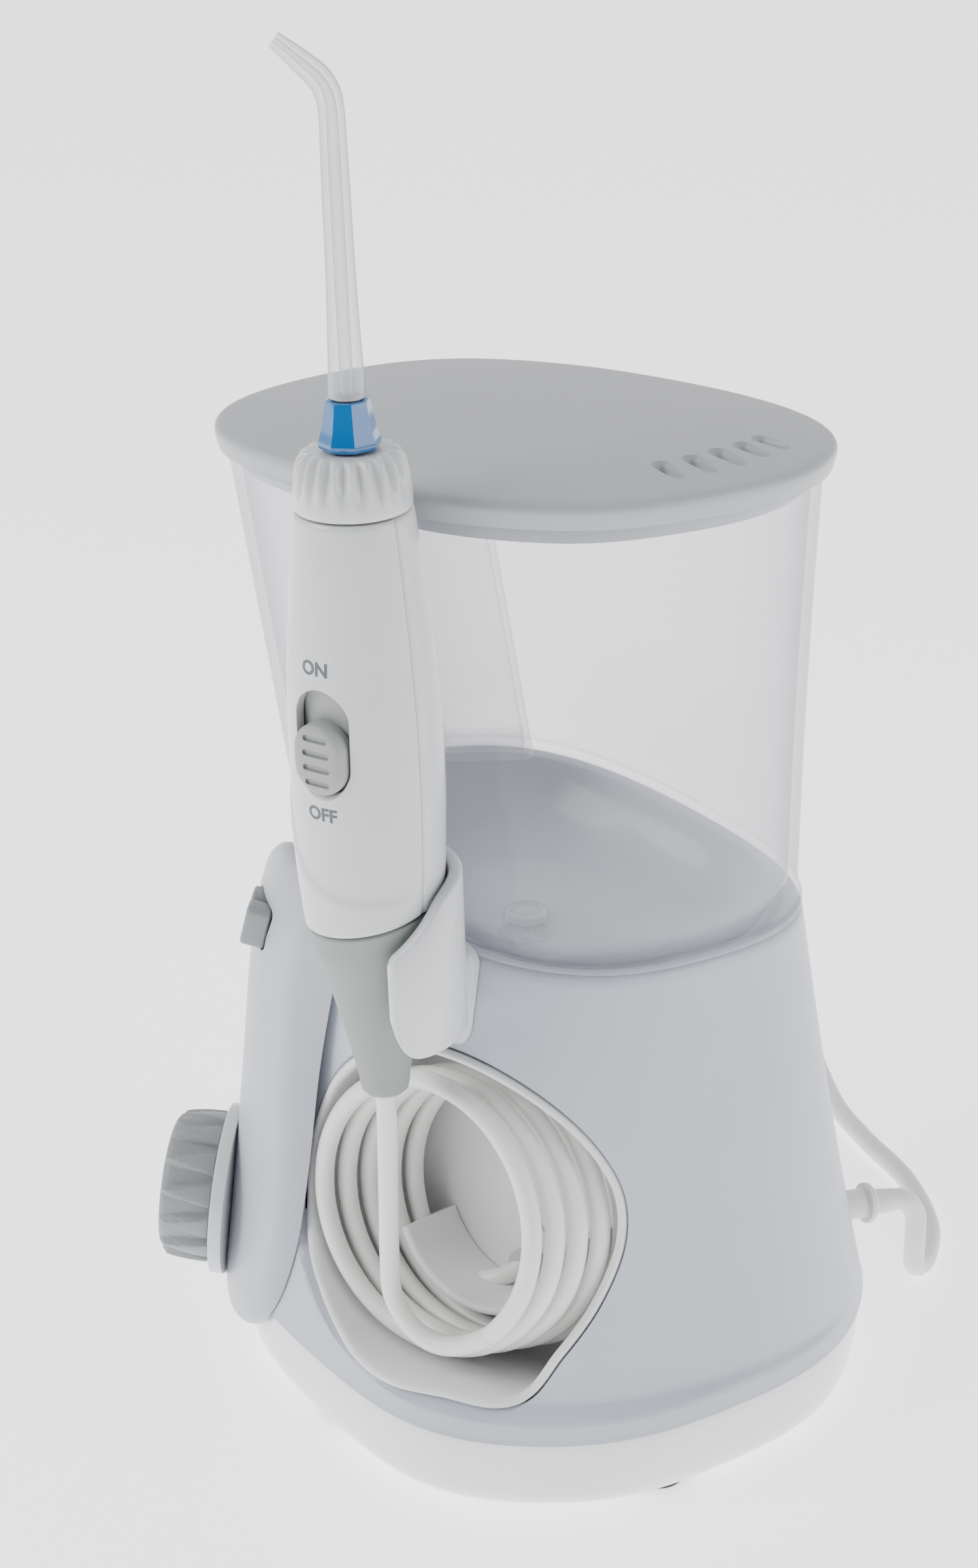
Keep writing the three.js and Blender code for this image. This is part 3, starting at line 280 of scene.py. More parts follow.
def capsule(w, l, k=14):
    r = w / 2; h = l / 2 - r
    return np.array([(r * math.cos(math.pi * i / k), h + r * math.sin(math.pi * i / k)) for i in range(k + 1)] +
                    [(r * math.cos(math.pi + math.pi * i / k), -h + r * math.sin(math.pi + math.pi * i / k)) for i in range(k + 1)])


def boolean(ob, cutters, op="DIFFERENCE", sharp=32):
    """cuts ob with each (verts, faces), and takes the result into its mesh"""
    tools = []
    for k, vf in enumerate(cutters):
        t = make("cutter_%d" % k, *vf, ob.data.materials[0] if ob.data.materials else None)
        tools.append(t)
        m = ob.modifiers.new("cut_%d" % k, "BOOLEAN"); m.operation = op; m.solver = "EXACT"; m.object = t
    dg = bpy.context.evaluated_depsgraph_get()
    me = bpy.data.meshes.new_from_object(ob.evaluated_get(dg))
    ob.modifiers.clear()
    old = ob.data; ob.data = me; bpy.data.meshes.remove(old)
    for t in tools:
        d = t.data; bpy.data.objects.remove(t); bpy.data.meshes.remove(d)
    soften(ob, sharp)
    return ob


# ------------------------------------------------------------------ materials
def nodes_of(name):
    m = bpy.data.materials.new(name); m.use_nodes = True
    nt = m.node_tree; bsdf = nt.nodes["Principled BSDF"]
    return m, nt, bsdf


def plastic(name, colour, rough=0.35, grain=0.012, grain_scale=900.0, vary=0.03, coat=0.0, spec=0.5, sss=0.0, wave=0.0, metal=0.0):
    """moulded plastic: faint cloudy colour, fine surface grain, roughness that varies a little"""
    m, nt, b = nodes_of(name)
    tc = nt.nodes.new("ShaderNodeTexCoord")
    n1 = nt.nodes.new("ShaderNodeTexNoise"); n1.inputs["Scale"].default_value = 38.0; n1.inputs["Detail"].default_value = 4.0
    nt.links.new(tc.outputs["Object"], n1.inputs["Vector"])
    ramp = nt.nodes.new("ShaderNodeValToRGB")
    c = np.array(colour)
    ramp.color_ramp.elements[0].color = (*np.clip(c * (1 - vary), 0, 1), 1); ramp.color_ramp.elements[1].color = (*np.clip(c * (1 + vary), 0, 1), 1)
    ramp.color_ramp.elements[0].position, ramp.color_ramp.elements[1].position = 0.3, 0.7
    nt.links.new(n1.outputs["Fac"], ramp.inputs["Fac"]); nt.links.new(ramp.outputs["Color"], b.inputs["Base Color"])
    n2 = nt.nodes.new("ShaderNodeTexNoise"); n2.inputs["Scale"].default_value = grain_scale; n2.inputs["Detail"].default_value = 2.0
    nt.links.new(tc.outputs["Object"], n2.inputs["Vector"])
    bump = nt.nodes.new("ShaderNodeBump"); bump.inputs["Strength"].default_value = grain * 8; bump.inputs["Distance"].default_value = 0.00012
    nt.links.new(n2.outputs["Fac"], bump.inputs["Height"]); nt.links.new(bump.outputs["Normal"], b.inputs["Normal"])
    mr = nt.nodes.new("ShaderNodeMapRange"); mr.inputs["To Min"].default_value = rough * 0.85; mr.inputs["To Max"].default_value = rough * 1.2
    nt.links.new(n1.outputs["Fac"], mr.inputs["Value"]); nt.links.new(mr.outputs["Result"], b.inputs["Roughness"])
    b.inputs["Specular IOR Level"].default_value = spec; b.inputs["Metallic"].default_value = metal
    b.inputs["Coat Weight"].default_value = coat; b.inputs["Coat Roughness"].default_value = 0.08
    if sss:
        b.inputs["Subsurface Weight"].default_value = sss; b.inputs["Subsurface Radius"].default_value = (0.002, 0.0018, 0.0015); b.inputs["Subsurface Scale"].default_value = 1.0
    m.diffuse_color = (*colour, 1)
    return m


def clear(name, tint=(0.93, 0.935, 0.97), rough=0.02, ior=1.36, transmission=1.0):
    m, nt, b = nodes_of(name)
    b.inputs["Transmission Weight"].default_value = transmission
    b.inputs["IOR"].default_value = ior
    tc = nt.nodes.new("ShaderNodeTexCoord")
    n1 = nt.nodes.new("ShaderNodeTexNoise"); n1.inputs["Scale"].default_value = 45.0; n1.inputs["Detail"].default_value = 3.0
    nt.links.new(tc.outputs["Object"], n1.inputs["Vector"])
    ramp = nt.nodes.new("ShaderNodeValToRGB"); c = np.array(tint)
    ramp.color_ramp.elements[0].color = (*np.clip(c * 0.992, 0, 1), 1); ramp.color_ramp.elements[1].color = (*np.clip(c * 1.008, 0, 1), 1)
    nt.links.new(n1.outputs["Fac"], ramp.inputs["Fac"]); nt.links.new(ramp.outputs["Color"], b.inputs["Base Color"])
    mr = nt.nodes.new("ShaderNodeMapRange"); mr.inputs["To Min"].default_value = rough * 0.6; mr.inputs["To Max"].default_value = rough * 1.6
    nt.links.new(n1.outputs["Fac"], mr.inputs["Value"]); nt.links.new(mr.outputs["Result"], b.inputs["Roughness"])
    bump = nt.nodes.new("ShaderNodeBump"); bump.inputs["Strength"].default_value = 0.15; bump.inputs["Distance"].default_value = 0.0002
    nt.links.new(n1.outputs["Fac"], bump.inputs["Height"]); nt.links.new(bump.outputs["Normal"], b.inputs["Normal"])
    m.diffuse_color = (*tint, 0.3)
    return m


def sheer(name, tint=(0.78, 0.79, 0.87), rough=0.05, low=0.07, high=0.9, blend=0.25):
    """thin clear moulding: almost nothing seen face on, solid at its edges, its colour darkened at grazing angles as
    painted shade
    """
    m, nt, b = nodes_of(name)
    tc = nt.nodes.new("ShaderNodeTexCoord")
    n1 = nt.nodes.new("ShaderNodeTexNoise"); n1.inputs["Scale"].default_value = 45.0; n1.inputs["Detail"].default_value = 3.0
    nt.links.new(tc.outputs["Object"], n1.inputs["Vector"])
    ramp = nt.nodes.new("ShaderNodeValToRGB"); c = np.array(tint)
    ramp.color_ramp.elements[0].color = (*np.clip(c * 0.97, 0, 1), 1); ramp.color_ramp.elements[1].color = (*np.clip(c * 1.03, 0, 1), 1)
    nt.links.new(n1.outputs["Fac"], ramp.inputs["Fac"])
    # painted shade: the base colour is multiplied down to dark grey-blue at grazing angles, standing in for the dark
    # refractions and reflections at a clear moulding's edges
    le = nt.nodes.new("ShaderNodeLayerWeight"); le.inputs["Blend"].default_value = 0.5
    painted_edge_shade_ramp = nt.nodes.new("ShaderNodeValToRGB"); painted_edge_shade_ramp.color_ramp.elements[0].position = 0.45; painted_edge_shade_ramp.color_ramp.elements[0].color = (1, 1, 1, 1)
    painted_edge_shade_ramp.color_ramp.elements[1].position = 0.92; painted_edge_shade_ramp.color_ramp.elements[1].color = (0.20, 0.21, 0.25, 1)
    nt.links.new(le.outputs["Facing"], painted_edge_shade_ramp.inputs["Fac"])
    mx = nt.nodes.new("ShaderNodeMix"); mx.data_type = "RGBA"; mx.blend_type = "MULTIPLY"; mx.inputs[0].default_value = 1.0
    nt.links.new(ramp.outputs["Color"], mx.inputs[6]); nt.links.new(painted_edge_shade_ramp.outputs["Color"], mx.inputs[7]); nt.links.new(mx.outputs[2], b.inputs["Base Color"])
    mr = nt.nodes.new("ShaderNodeMapRange"); mr.inputs["To Min"].default_value = rough * 0.6; mr.inputs["To Max"].default_value = rough * 1.6
    nt.links.new(n1.outputs["Fac"], mr.inputs["Value"]); nt.links.new(mr.outputs["Result"], b.inputs["Roughness"])
    bump = nt.nodes.new("ShaderNodeBump"); bump.inputs["Strength"].default_value = 0.2; bump.inputs["Distance"].default_value = 0.0003
    nt.links.new(n1.outputs["Fac"], bump.inputs["Height"]); nt.links.new(bump.outputs["Normal"], b.inputs["Normal"])
    lw = nt.nodes.new("ShaderNodeLayerWeight"); lw.inputs["Blend"].default_value = blend
    al_ = nt.nodes.new("ShaderNodeMapRange"); al_.inputs["To Min"].default_value = low; al_.inputs["To Max"].default_value = high
    nt.links.new(lw.outputs["Facing"], al_.inputs["Value"]); nt.links.new(al_.outputs["Result"], b.inputs["Alpha"])
    b.inputs["Specular IOR Level"].default_value = 0.9; b.inputs["IOR"].default_value = 1.55
    m.diffuse_color = (*tint, 0.3)
    return m


HOUSING = plastic("housing_satin", (0.53, 0.56, 0.63), 0.36, 0.010)
TUB = plastic("tub_gloss", (0.86, 0.865, 0.875), 0.16, 0.004, coat=0.4)
PANEL = plastic("panel_satin", (0.50, 0.52, 0.57), 0.38, 0.012)
RINGM = plastic("knob_ring_satin", (0.66, 0.67, 0.69), 0.3, 0.008)
KNOB = plastic("knob_satin", (0.27, 0.285, 0.295), 0.42, 0.02)
LIDM = plastic("lid_satin", (0.40, 0.41, 0.43), 0.33, 0.012)
HANDLE = plastic("handle_gloss", (0.62, 0.63, 0.64), 0.24, 0.004, coat=0.25)
CRADLE = plastic("cradle_gloss", (0.68, 0.69, 0.71), 0.26, 0.005, coat=0.2)
CONE = plastic("cone_soft", (0.27, 0.30, 0.285), 0.5, 0.02, spec=0.35)
SLIDER = plastic("slider_soft", (0.33, 0.335, 0.335), 0.5, 0.015)
WELL = plastic("well_satin", (0.80, 0.80, 0.80), 0.38, 0.008)
HOSE = plastic("hose_vinyl", (0.86, 0.855, 0.83), 0.3, 0.006, sss=0.12)
CORDM = plastic("lead_pvc", (0.80, 0.80, 0.79), 0.45, 0.015)
FOOT = plastic("foot_rubber", (0.025, 0.025, 0.027), 0.75, 0.03)
INK = plastic("marking_ink", (0.10, 0.11, 0.13), 0.5, 0.01)
STEEL = plastic("pump_steel", (0.56, 0.57, 0.58), 0.3, 0.01, metal=1.0)
BRASS = plastic("pin_brass", (0.62, 0.46, 0.17), 0.3, 0.01, metal=1.0)
BOARD = plastic("board_green", (0.04, 0.17, 0.08), 0.45, 0.02)
INNER = plastic("moulding_grey", (0.5, 0.51, 0.53), 0.45, 0.015)
CLEAR = sheer("reservoir_clear")
POCKET = sheer("pocket_clear", low=0.08, high=0.7)
TIPC = sheer("tip_clear", (0.62, 0.64, 0.68), 0.03, 0.20, 1.0, 0.42)
BLUE = plastic("collar_blue", (0.004, 0.125, 0.36), 0.12, 0.003, coat=0.6)

for names, m in {"motor gear_axle crank_pin connecting_rod base_screw_1 base_screw_2 base_screw_3 base_screw_4": STEEL, "motor_pinion valve_stem plug_blade_a plug_blade_b": BRASS,
                 "circuit_board": BOARD, "hose_hub hose_connector handle_core pressure_valve pump_frame pump_cylinder pump_head pump_piston drive_gear": INNER,
                 "inlet_tube outlet_tube": HOSE, "seat_port foot_rear_right foot_front_right foot_front_left foot_rear_left": FOOT}.items():
    for n in names.split():
        NODES[n].data.materials.clear(); NODES[n].data.materials.append(m)
for n in ("motor", "gear_axle", "crank_pin", "valve_stem", "handle_core", "pump_cylinder", "pump_piston", "inlet_tube", "outlet_tube", "seat_port", "foot_rear_right", "foot_front_right", "foot_front_left", "foot_rear_left", "base_screw_1", "base_screw_2", "base_screw_3", "base_screw_4", "hose_connector", "hose_hub"):
    soften(NODES[n], 35)

# ------------------------------------------------------------------ housing
N = 300
ANG = np.arange(N) * 360.0 / N
cosA, sinA = np.cos(np.radians(ANG)), np.sin(np.radians(ANG))


def outline(C, Rf, z, ins=0.0):
    r = Rf(ANG) - ins
    return np.stack([C[0] + r * cosA, C[1] + r * sinA, np.broadcast_to(z, (N,)).astype(float)], -1)


BOWL = catmull([(0, 1.0), (1.6, 0.75), (5.0, 0.42), (10.5, 0.14), (15.0, 0.0)], 7)


def bowl_ring(ins, h, extra, floor_z, lift):
    k = min(max(ins / 15.0, 0), 1)
    cx, cy = lerp(C_RIM[0], C_FLOOR[0], k), lerp(C_RIM[1], C_FLOOR[1], k)
    r = rimR(ANG) - 3.2 - ins - extra
    x, y = cx + r * cosA, cy + r * sinA
    return np.stack([x, y, lerp(floor_z, rimz(x, y) + lift, min(max(h, 0), 1))], -1)


def house_ring(t, grow=0.0, dz=0.0, stepped=True):
    p = house(ANG, t, grow, stepped); p[:, 2] += dz
    return p


rings = []
for t in (0.78, 0.65, 0.45, 0.25, 0.12, 0.04):
    p = house_ring(t, -2.2 - (3.0 if t < 0.2 else 0.0)); p[:, 2] = np.minimum(p[:, 2], SEAT_Z - 3.0)
    rings.append(p)
bot = house_ring(0, -2.6); rings.append(bot)
rings.append(house_ring(0, -0.7))
rings.append(house_ring(0, -0.25, 0.12)); rings.append(house_ring(0, -0.04, 0.38))
for t in np.concatenate([np.linspace(0.008, 0.16, 26), np.linspace(0.17, 0.975, 70)]):
    rings.append(house_ring(float(t)))
rings += [house_ring(0.99, -0.03), house_ring(1.0, -0.12, -0.5), house_ring(1.0, -0.45, -0.14), house_ring(1.0, -1.0, 0.0), house_ring(1.0, -2.4, 0.0), house_ring(1.0, -2.9, -0.15)]
for ins, h in BOWL:
    rings.append(bowl_ring(ins, h, 0.0, SEAT_Z, -0.25))
housing = make("housing_body", *shell(rings), HOUSING, 40)

wellN = np.array([math.cos(rad(11)) * math.cos(rad(-33)), math.cos(rad(11)) * math.sin(rad(-33)), math.sin(rad(11))])
wellE = np.array([math.sin(rad(33)), math.cos(rad(-33)), 0.0])
wellW = np.array([-math.sin(rad(11)) * math.cos(rad(-33)), -math.sin(rad(11)) * math.sin(rad(-33)), math.cos(rad(11))])
WELL_C = np.array([37.3, -21.3, 53.1]); WELL_DEPTH = 27.5
WELL_PTS = [(-29.5, -2), (-28.5, 9), (-24, 19.5), (-15.5, 28), (-4.5, 33), (7, 34), (18, 31), (27.5, 24.5), (34, 15), (36.3, 4), (35, -8), (31.5, -18.5), (26.5, -28.5), (14, -30.2), (2, -31), (-10, -28.6), (-20.5, -22), (-27, -12.5)]
WO = catmull(WELL_PTS, 9, True)


def well(a, b, d):
    a, b, d = np.broadcast_arrays(np.asarray(a, float), np.asarray(b, float), np.asarray(d, float))
    return WELL_C + a[..., None] * wellE + b[..., None] * wellW + d[..., None] * wellN


def well_ring(ins, d):
    q = inset(WO, ins)
    return well(q[:, 0], q[:, 1], d)


# depth of the housing's outside along the well's own direction, at each point of its outline
mouth = []
for a, b in WO:
    lo, hi = -22.0, 26.0
    for _ in range(28):
        mid = (lo + hi) / 2
        if depth_inside(well(a, b, mid)) > 0: lo = mid
        else: hi = mid
    mouth.append(lo)
mouth = np.array(mouth)
for _ in range(2):
    mouth = 0.25 * np.roll(mouth, 1) + 0.5 * mouth + 0.25 * np.roll(mouth, -1)

KEL = rad(5); KDIR = (0, -math.cos(KEL), math.sin(KEL))
KNOB_M = frame_at((0, -62.6, 31.9), KDIR, (1, 0, 0))
GDIR = (math.cos(rad(-6)) * math.cos(rad(115)), math.cos(rad(-6)) * math.sin(rad(115)), math.sin(rad(-6)))
GLAND = np.array([-15.6, 63.6, 25.1]); GLAND_M = frame_at(GLAND, GDIR)
cutwell = shell([well_ring(0.0, np.full(len(WO), -60.0)), well_ring(0.0, mouth - 3), well_ring(0.0, mouth - 0.55), well_ring(-0.22, mouth - 0.2), well_ring(-0.8, mouth + 0.35), well_ring(-2.0, mouth + 3), well_ring(-2.0, np.full(len(WO), 45.0))])
VALVE = (-2.0, -3.9)
port = lathe([(0, 80), (5.2, 80), (5.2, 100), (0, 100)], 48); port = (port[0] + np.array([VALVE[0], VALVE[1], 0]), port[1])
boolean(housing, [cutwell, port, moved(lathe([(0, -22), (3.6, -22), (3.6, 6), (0, 6)], 40), KNOB_M), moved(lathe([(0, -14), (3.3, -14), (3.3, 8), (0, 8)], 40), GLAND_M)], sharp=38)
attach(housing, "base"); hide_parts("main_housing")

# well liner with its rounded lip
B = WELL_DEPTH
rr = [well_ring(0.3 + 8, np.full(len(WO), -B - 1.6)), well_ring(0.3 + 1.2, np.full(len(WO), -B - 1.6)), well_ring(0.3, np.full(len(WO), -B - 0.6)),
      well_ring(0.3, mouth - 2.0), well_ring(0.25, mouth - 0.1), well_ring(0.22, mouth + 0.3), well_ring(0.5, mouth + 0.72), well_ring(0.95, mouth + 0.86), well_ring(1.45, mouth + 0.7), well_ring(1.8, mouth + 0.25), well_ring(1.95, mouth - 0.6)]
for d in np.linspace(0.0, 1.0, 8)[1:]:
    rr.append(well_ring(2.0, lerp(mouth - 0.6, np.full(len(WO), -B + 2.0), d)))
rr += [well_ring(2.4, np.full(len(WO), -B + 0.9)), well_ring(3.1, np.full(len(WO), -B + 0.3)), well_ring(4.2, np.full(len(WO), -B)), well_ring(9, np.full(len(WO), -B))]
liner = make("well_liner", *shell(rr), WELL, 40)
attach(liner, "base"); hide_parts("hose_well")

# hub arc in the well
hub = []
a = np.radians(np.linspace(-150, 0, 40))
prof = [(18.2, -B + 0.3), (18.2, -B + 14.6), (18.5, -B + 15.2), (19.1, -B + 15.4), (19.7, -B + 15.2), (20.0, -B + 14.6), (20.0, -B + 0.3)]
for t in a:
    hub.append(np.array([well(5.5 + r * math.cos(t), -1 + r * math.sin(t), d) for r, d in prof]))
hubv = shell(hub)
hub_o = make("hub_sleeve", *hubv, WELL, 50)
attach(hub_o, "base"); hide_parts("hose_hub")

# ------------------------------------------------------------------ tub
T = [(2.0, 9.0), (2.0, 6.8), (2.15, 5.6), (2.6, 4.25), (3.4, 3.05), (4.6, 2.15), (6.2, 1.55), (8.5, 1.15), (12, 0.8), (16, 0.6), (18.1, 0.5), (18.5, 0.62), (18.7, 0.95), (18.7, 2.4), (18.4, 2.8), (10, 3.2), (6.4, 4.6), (4.8, 7.0), (4.2, 10)]
tub = make("tub_body", *shell([outline(C_SEAM, seamR, z, i) for z, i in T]), TUB, 40)
FEET = [(40.0, 24.5), (26.5, -35.5), (-38, -26), (-32, 36)]
SCREWS = [(44, 8), (20, -44), (-46, -8), (14, 50)]


def at(vf, x, y, z=0.0):
    return (vf[0] + np.array([x, y, z]), vf[1])


cuts = [at(lathe([(0, -1), (6.4, -1), (6.4, 2.9), (0, 2.9)], 48), x, y) for x, y in FEET] + [at(lathe([(0, -1), (3.2, -1), (3.2, 3.6), (1.9, 3.6), (1.9, 9), (0, 9)], 32), x, y) for x, y in SCREWS]
boolean(tub, cuts + [shell([well_ring(-2.4, np.full(len(WO), -B - 2.4)), well_ring(-2.4, np.full(len(WO), 12.0))])] if False else cuts, sharp=38)
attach(tub, "base"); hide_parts("bottom_tub")
for i, (x, y) in enumerate(FEET):
    o = make("rubber_foot_%d" % (i + 1), *at(lathe(fillet([(0, 0), (5.7, 0), (6.1, 2.6), (0, 2.6)], [0, 0.7, 0.2, 0])), x, y), FOOT, 40)
    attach(o, "base"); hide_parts(["foot_rear_right", "foot_front_right", "foot_front_left", "foot_rear_left"][i])

# ------------------------------------------------------------------ control panel
PT = [(4, 2.4), (12, 3.2), (30, 3.7), (55, 4.5), (72, 5.4), (84, 6.0), (94, 5.9), (101, 4.9), (106, 2.6), (112, 0.7)]
PO = catmull([(0, 106.5), (9, 105.6), (13.5, 101), (15.5, 90), (18.5, 72), (23, 52), (25.8, 36), (25.3, 23), (21, 14.6), (11, 10.8), (0, 9.9), (-11, 10.8), (-21, 14.6), (-25.3, 23), (-25.8, 36), (-23, 52), (-18.5, 72), (-15.5, 90), (-13.5, 101), (-9, 105.6)], 9, True)


def skin_y(x, z, grow):
    t = min(max((z - SEAM_Z) / (rimz(-4, -50) - SEAM_Z), 0.0), 1.0)
    cx, cy = lerp(C_SEAM[0], C_RIM[0], t), lerp(C_SEAM[1], C_RIM[1], t)
    lo, hi = -20.0, -80.0
    for _ in range(26):
        y = (lo + hi) / 2
        a = math.degrees(math.atan2(y - cy, x - cx))
        if float(lerp(seamR(a), rimR(a), t)) + grow > math.hypot(x - cx, y - cy): lo = y
        else: hi = y
    return lo


def panel_ring(q, back):
    out = []
    for x, z in q:
        T0 = float(hermite(PT, z))
        out.append((x, skin_y(x, z, GAP + (T0 - GAP) * back), z))
    return np.array(out)


def toward(P, k, c=(0.0, 52.0)):
    return np.array(c) + (P - np.array(c)) * k


PI = inset(PO, 2.2)
pr = [panel_ring(toward(PI, k), 0.0) for k in (0.3, 0.7)] + [panel_ring(inset(PO, 0.1), 0.0), panel_ring(PO, 0.1), panel_ring(PO, 0.45), panel_ring(inset(PO, 0.12), 0.68), panel_ring(inset(PO, 0.4), 0.85), panel_ring(inset(PO, 0.9), 0.955), panel_ring(inset(PO, 1.5), 0.99), panel_ring(PI, 1.0)]
pr += [panel_ring(toward(PI, k), 1.0) for k in (0.9, 0.78, 0.64, 0.5, 0.36, 0.22, 0.1)]
panel = make("panel_cover", *shell(pr), PANEL, 42)
BDIR = (0, -math.cos(rad(14)), math.sin(rad(14)))
BM = [frame_at(p, BDIR, (1, 0, 0)) for p in ((-2.8, -54.2, 93.7), (2.8, -54.2, 93.7))]
BMC = frame_at((0, -54.2, 93.7), BDIR, (1, 0, 0))
boolean(panel, [moved(lathe([(0, -22), (3.6, -22), (3.6, 6), (0, 6)], 40), KNOB_M), moved(lathe([(0, -0.9), (17.3, -0.9), (17.3, 12), (0, 12)], 128), KNOB_M)] +
        [moved(prism(round_rect(10.9, 9.1, 1.6), -12, 8), BMC)], sharp=38)
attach(panel, "base"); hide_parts("control_panel")
ringp = fillet([(4, -0.6), (17.0, -0.6), (17.0, 2.0), (16.3, 2.0), (15.9, 1.5), (4, 1.5), (4, -0.6)], [0, 0.1, 0.5, 0.2, 0.2, 0.1, 0])
kr = make("knob_bezel", *moved(lathe_ring(ringp[:-1], 128), KNOB_M), RINGM, 40)
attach(kr, "base"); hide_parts("knob_ring")

# knob with pointed fins
FINS = 14; KN = FINS * 30
kprof = [(2.1, 13.0, 14.4, 0.2), (2.5, 13.5, 15.0, 0.3), (3.6, 13.6, 15.15, 0.36), (5.6, 13.55, 15.1, 0.46), (7.8, 13.45, 14.95, 0.6), (9.8, 13.35, 14.7, 0.78), (11.2, 13.25, 14.4, 0.9), (12.0, 13.0, 13.9, 1.05), (12.5, 12.5, 13.1, 1.15), (12.7, 11.6, 11.8, 1.2), (12.7, 9, 9, 1.2), (12.35, 7.8, 7.8, 1.2), (12.3, 4, 4, 1.2)]
kr_rings = []
for z, r0, r1, e in kprof:
    out = []
    for i in range(KN):
        w = abs(((i * FINS / KN) % 1) - 0.5) * 2
        r = lerp(r0, r1, float(smooth(e - 0.16, e + 0.06, w)))
        out.append((r * math.cos(2 * math.pi * i / KN), r * math.sin(2 * math.pi * i / KN), z))
    kr_rings.append(np.array(out))
knob = make("knob_cap", *moved(shell(kr_rings), KNOB_M), KNOB, 40)
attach(knob, "knob"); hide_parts("pressure_knob")
for i, (m, nme, bod) in enumerate(((BM[0], "power_button", "power_key"), (BM[1], "mode_button", "mode_key"))):
    o = make(nme + "_cap", *moved(prism(round_rect(4.75, 8.5, 1.5), -1.8, 3.05, 0.7, 4), m), KNOB, 40)
    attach(o, bod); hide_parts(nme)

# ------------------------------------------------------------------ reservoir, pocket, valve, lid
def tank_ring(t, grow=0.0, dz=0.0):
    cx, cy = lerp(C_RIM[0], C_LID[0], t), lerp(C_RIM[1], C_LID[1], t)
    r = lerp(rimR(ANG) - 0.9 * float(smooth(0, 0.045, t)), lidR(ANG) - 2.2, t) + grow
    x, y = cx + r * cosA, cy + r * sinA
    return np.stack([x, y, lerp(rimz(x, y) + GAP, TANK_TOP, t) + dz], -1)


def hole_ring(r, z):
    return np.stack([VALVE[0] + r * cosA, VALVE[1] + r * sinA, np.full(N, z)], -1)


BW = BOWL[::-1]
tr = [hole_ring(3.3, SEAT_Z + 0.9)]
tr += [bowl_ring(i, h, 0.5, SEAT_Z + 0.9, GAP) for i, h in BW[:-1]]
tr += [tank_ring(0, -2.4, 0.05), tank_ring(0, -0.5, 0.0), tank_ring(0, -0.12, 0.14), tank_ring(0, 0.0, 0.5), tank_ring(0, 0.0, 1.2), tank_ring(0, -0.15, 1.62), tank_ring(0, -0.5, 1.85), tank_ring(0.03, 0.0)]
tr += [tank_ring(t) for t in np.linspace(0.045, 0.985, 16)] + [tank_ring(1, 0, -0.4), tank_ring(1, -0.3, -0.08), tank_ring(1, -0.95, 0.0), tank_ring(1, -1.6, -0.08), tank_ring(1, -1.9, -0.4)]
tr += [tank_ring(t, -1.9) for t in np.linspace(0.98, 0.06, 16)]
tr += [bowl_ring(i, h, 2.4, TANK_FLOOR, 1.2) for i, h in BOWL[1:]]
tr += [hole_ring(3.3, TANK_FLOOR)]
tank = make("reservoir_body", *shell(tr, wrap=True), CLEAR, 50)
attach(tank, "tank"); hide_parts("reservoir")

# tip pocket: a rounded box in plan, kept inside the reservoir's wall
def pocket_ring(z, e, gap, n=120):
    t = (z - 106) / 75.0
    c = np.array([lerp(-37.5, -33.5, t), lerp(-13, -27.5, t)]); w, h = lerp(15, 17, t) - 2 * e, lerp(18, 22, t) - 2 * e
    base = round_rect(w, h, max(2.5 - e, 0.8), 12); ca, sa = math.cos(rad(8)), math.sin(rad(8))
    base = np.stack([base[:, 0] * ca - base[:, 1] * sa, base[:, 0] * sa + base[:, 1] * ca], -1)
    tt = (z - RIM_Z - 2) / (TANK_TOP - RIM_Z - 2)
    cc = np.array([lerp(C_RIM[0], C_LID[0], tt), lerp(C_RIM[1], C_LID[1], tt)])
    out = []
    for p in base + c:
        d = p - cc; r = np.hypot(*d); az = math.degrees(math.atan2(d[1], d[0]))
        lim = float(lerp(rimR(az) - 0.9, lidR(az) - 2.2, tt)) - 1.9 - gap
        if r > lim: p = cc + d * lim / r
        out.append((p[0], p[1], z))
    return np.array(out)


pk = [pocket_ring(114.2, 2.2, 2.6), pocket_ring(114.2, 1.0, 1.4), pocket_ring(114.9, 0.1, 0.5)] + [pocket_ring(z, 0, 0.4) for z in np.linspace(117, 179.6, 8)] + [pocket_ring(180.4, 0.4, 0.9)] + [pocket_ring(z, 1.3, 1.7) for z in np.linspace(179.8, 117.5, 8)] + [pocket_ring(116.2, 1.9, 2.4), pocket_ring(115.8, 3.2, 3.6)]
pocket = make("tip_pocket", *shell(pk), POCKET, 45)
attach(pocket, "tank"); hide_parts("tip_tray")

vp = fillet([(0, 91.0), (1.4, 91.0), (1.4, TANK_FLOOR + 0.5), (4.5, TANK_FLOOR + 0.5), (4.2, TANK_FLOOR + 1.8), (2.9, TANK_FLOOR + 2.0), (2.6, TANK_FLOOR + 1.4), (0, TANK_FLOOR + 1.3)], [0, 0.2, 0.2, 0.3, 0.5, 0.2, 0.2, 0])
valve = make("drain_valve_head", *at(lathe(vp), VALVE[0], VALVE[1]), TIPC, 40)
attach(valve, "drain_valve"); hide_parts("reservoir_valve")


def lid_ring(z, ins):
    return outline(C_LID, lidR, z, ins)


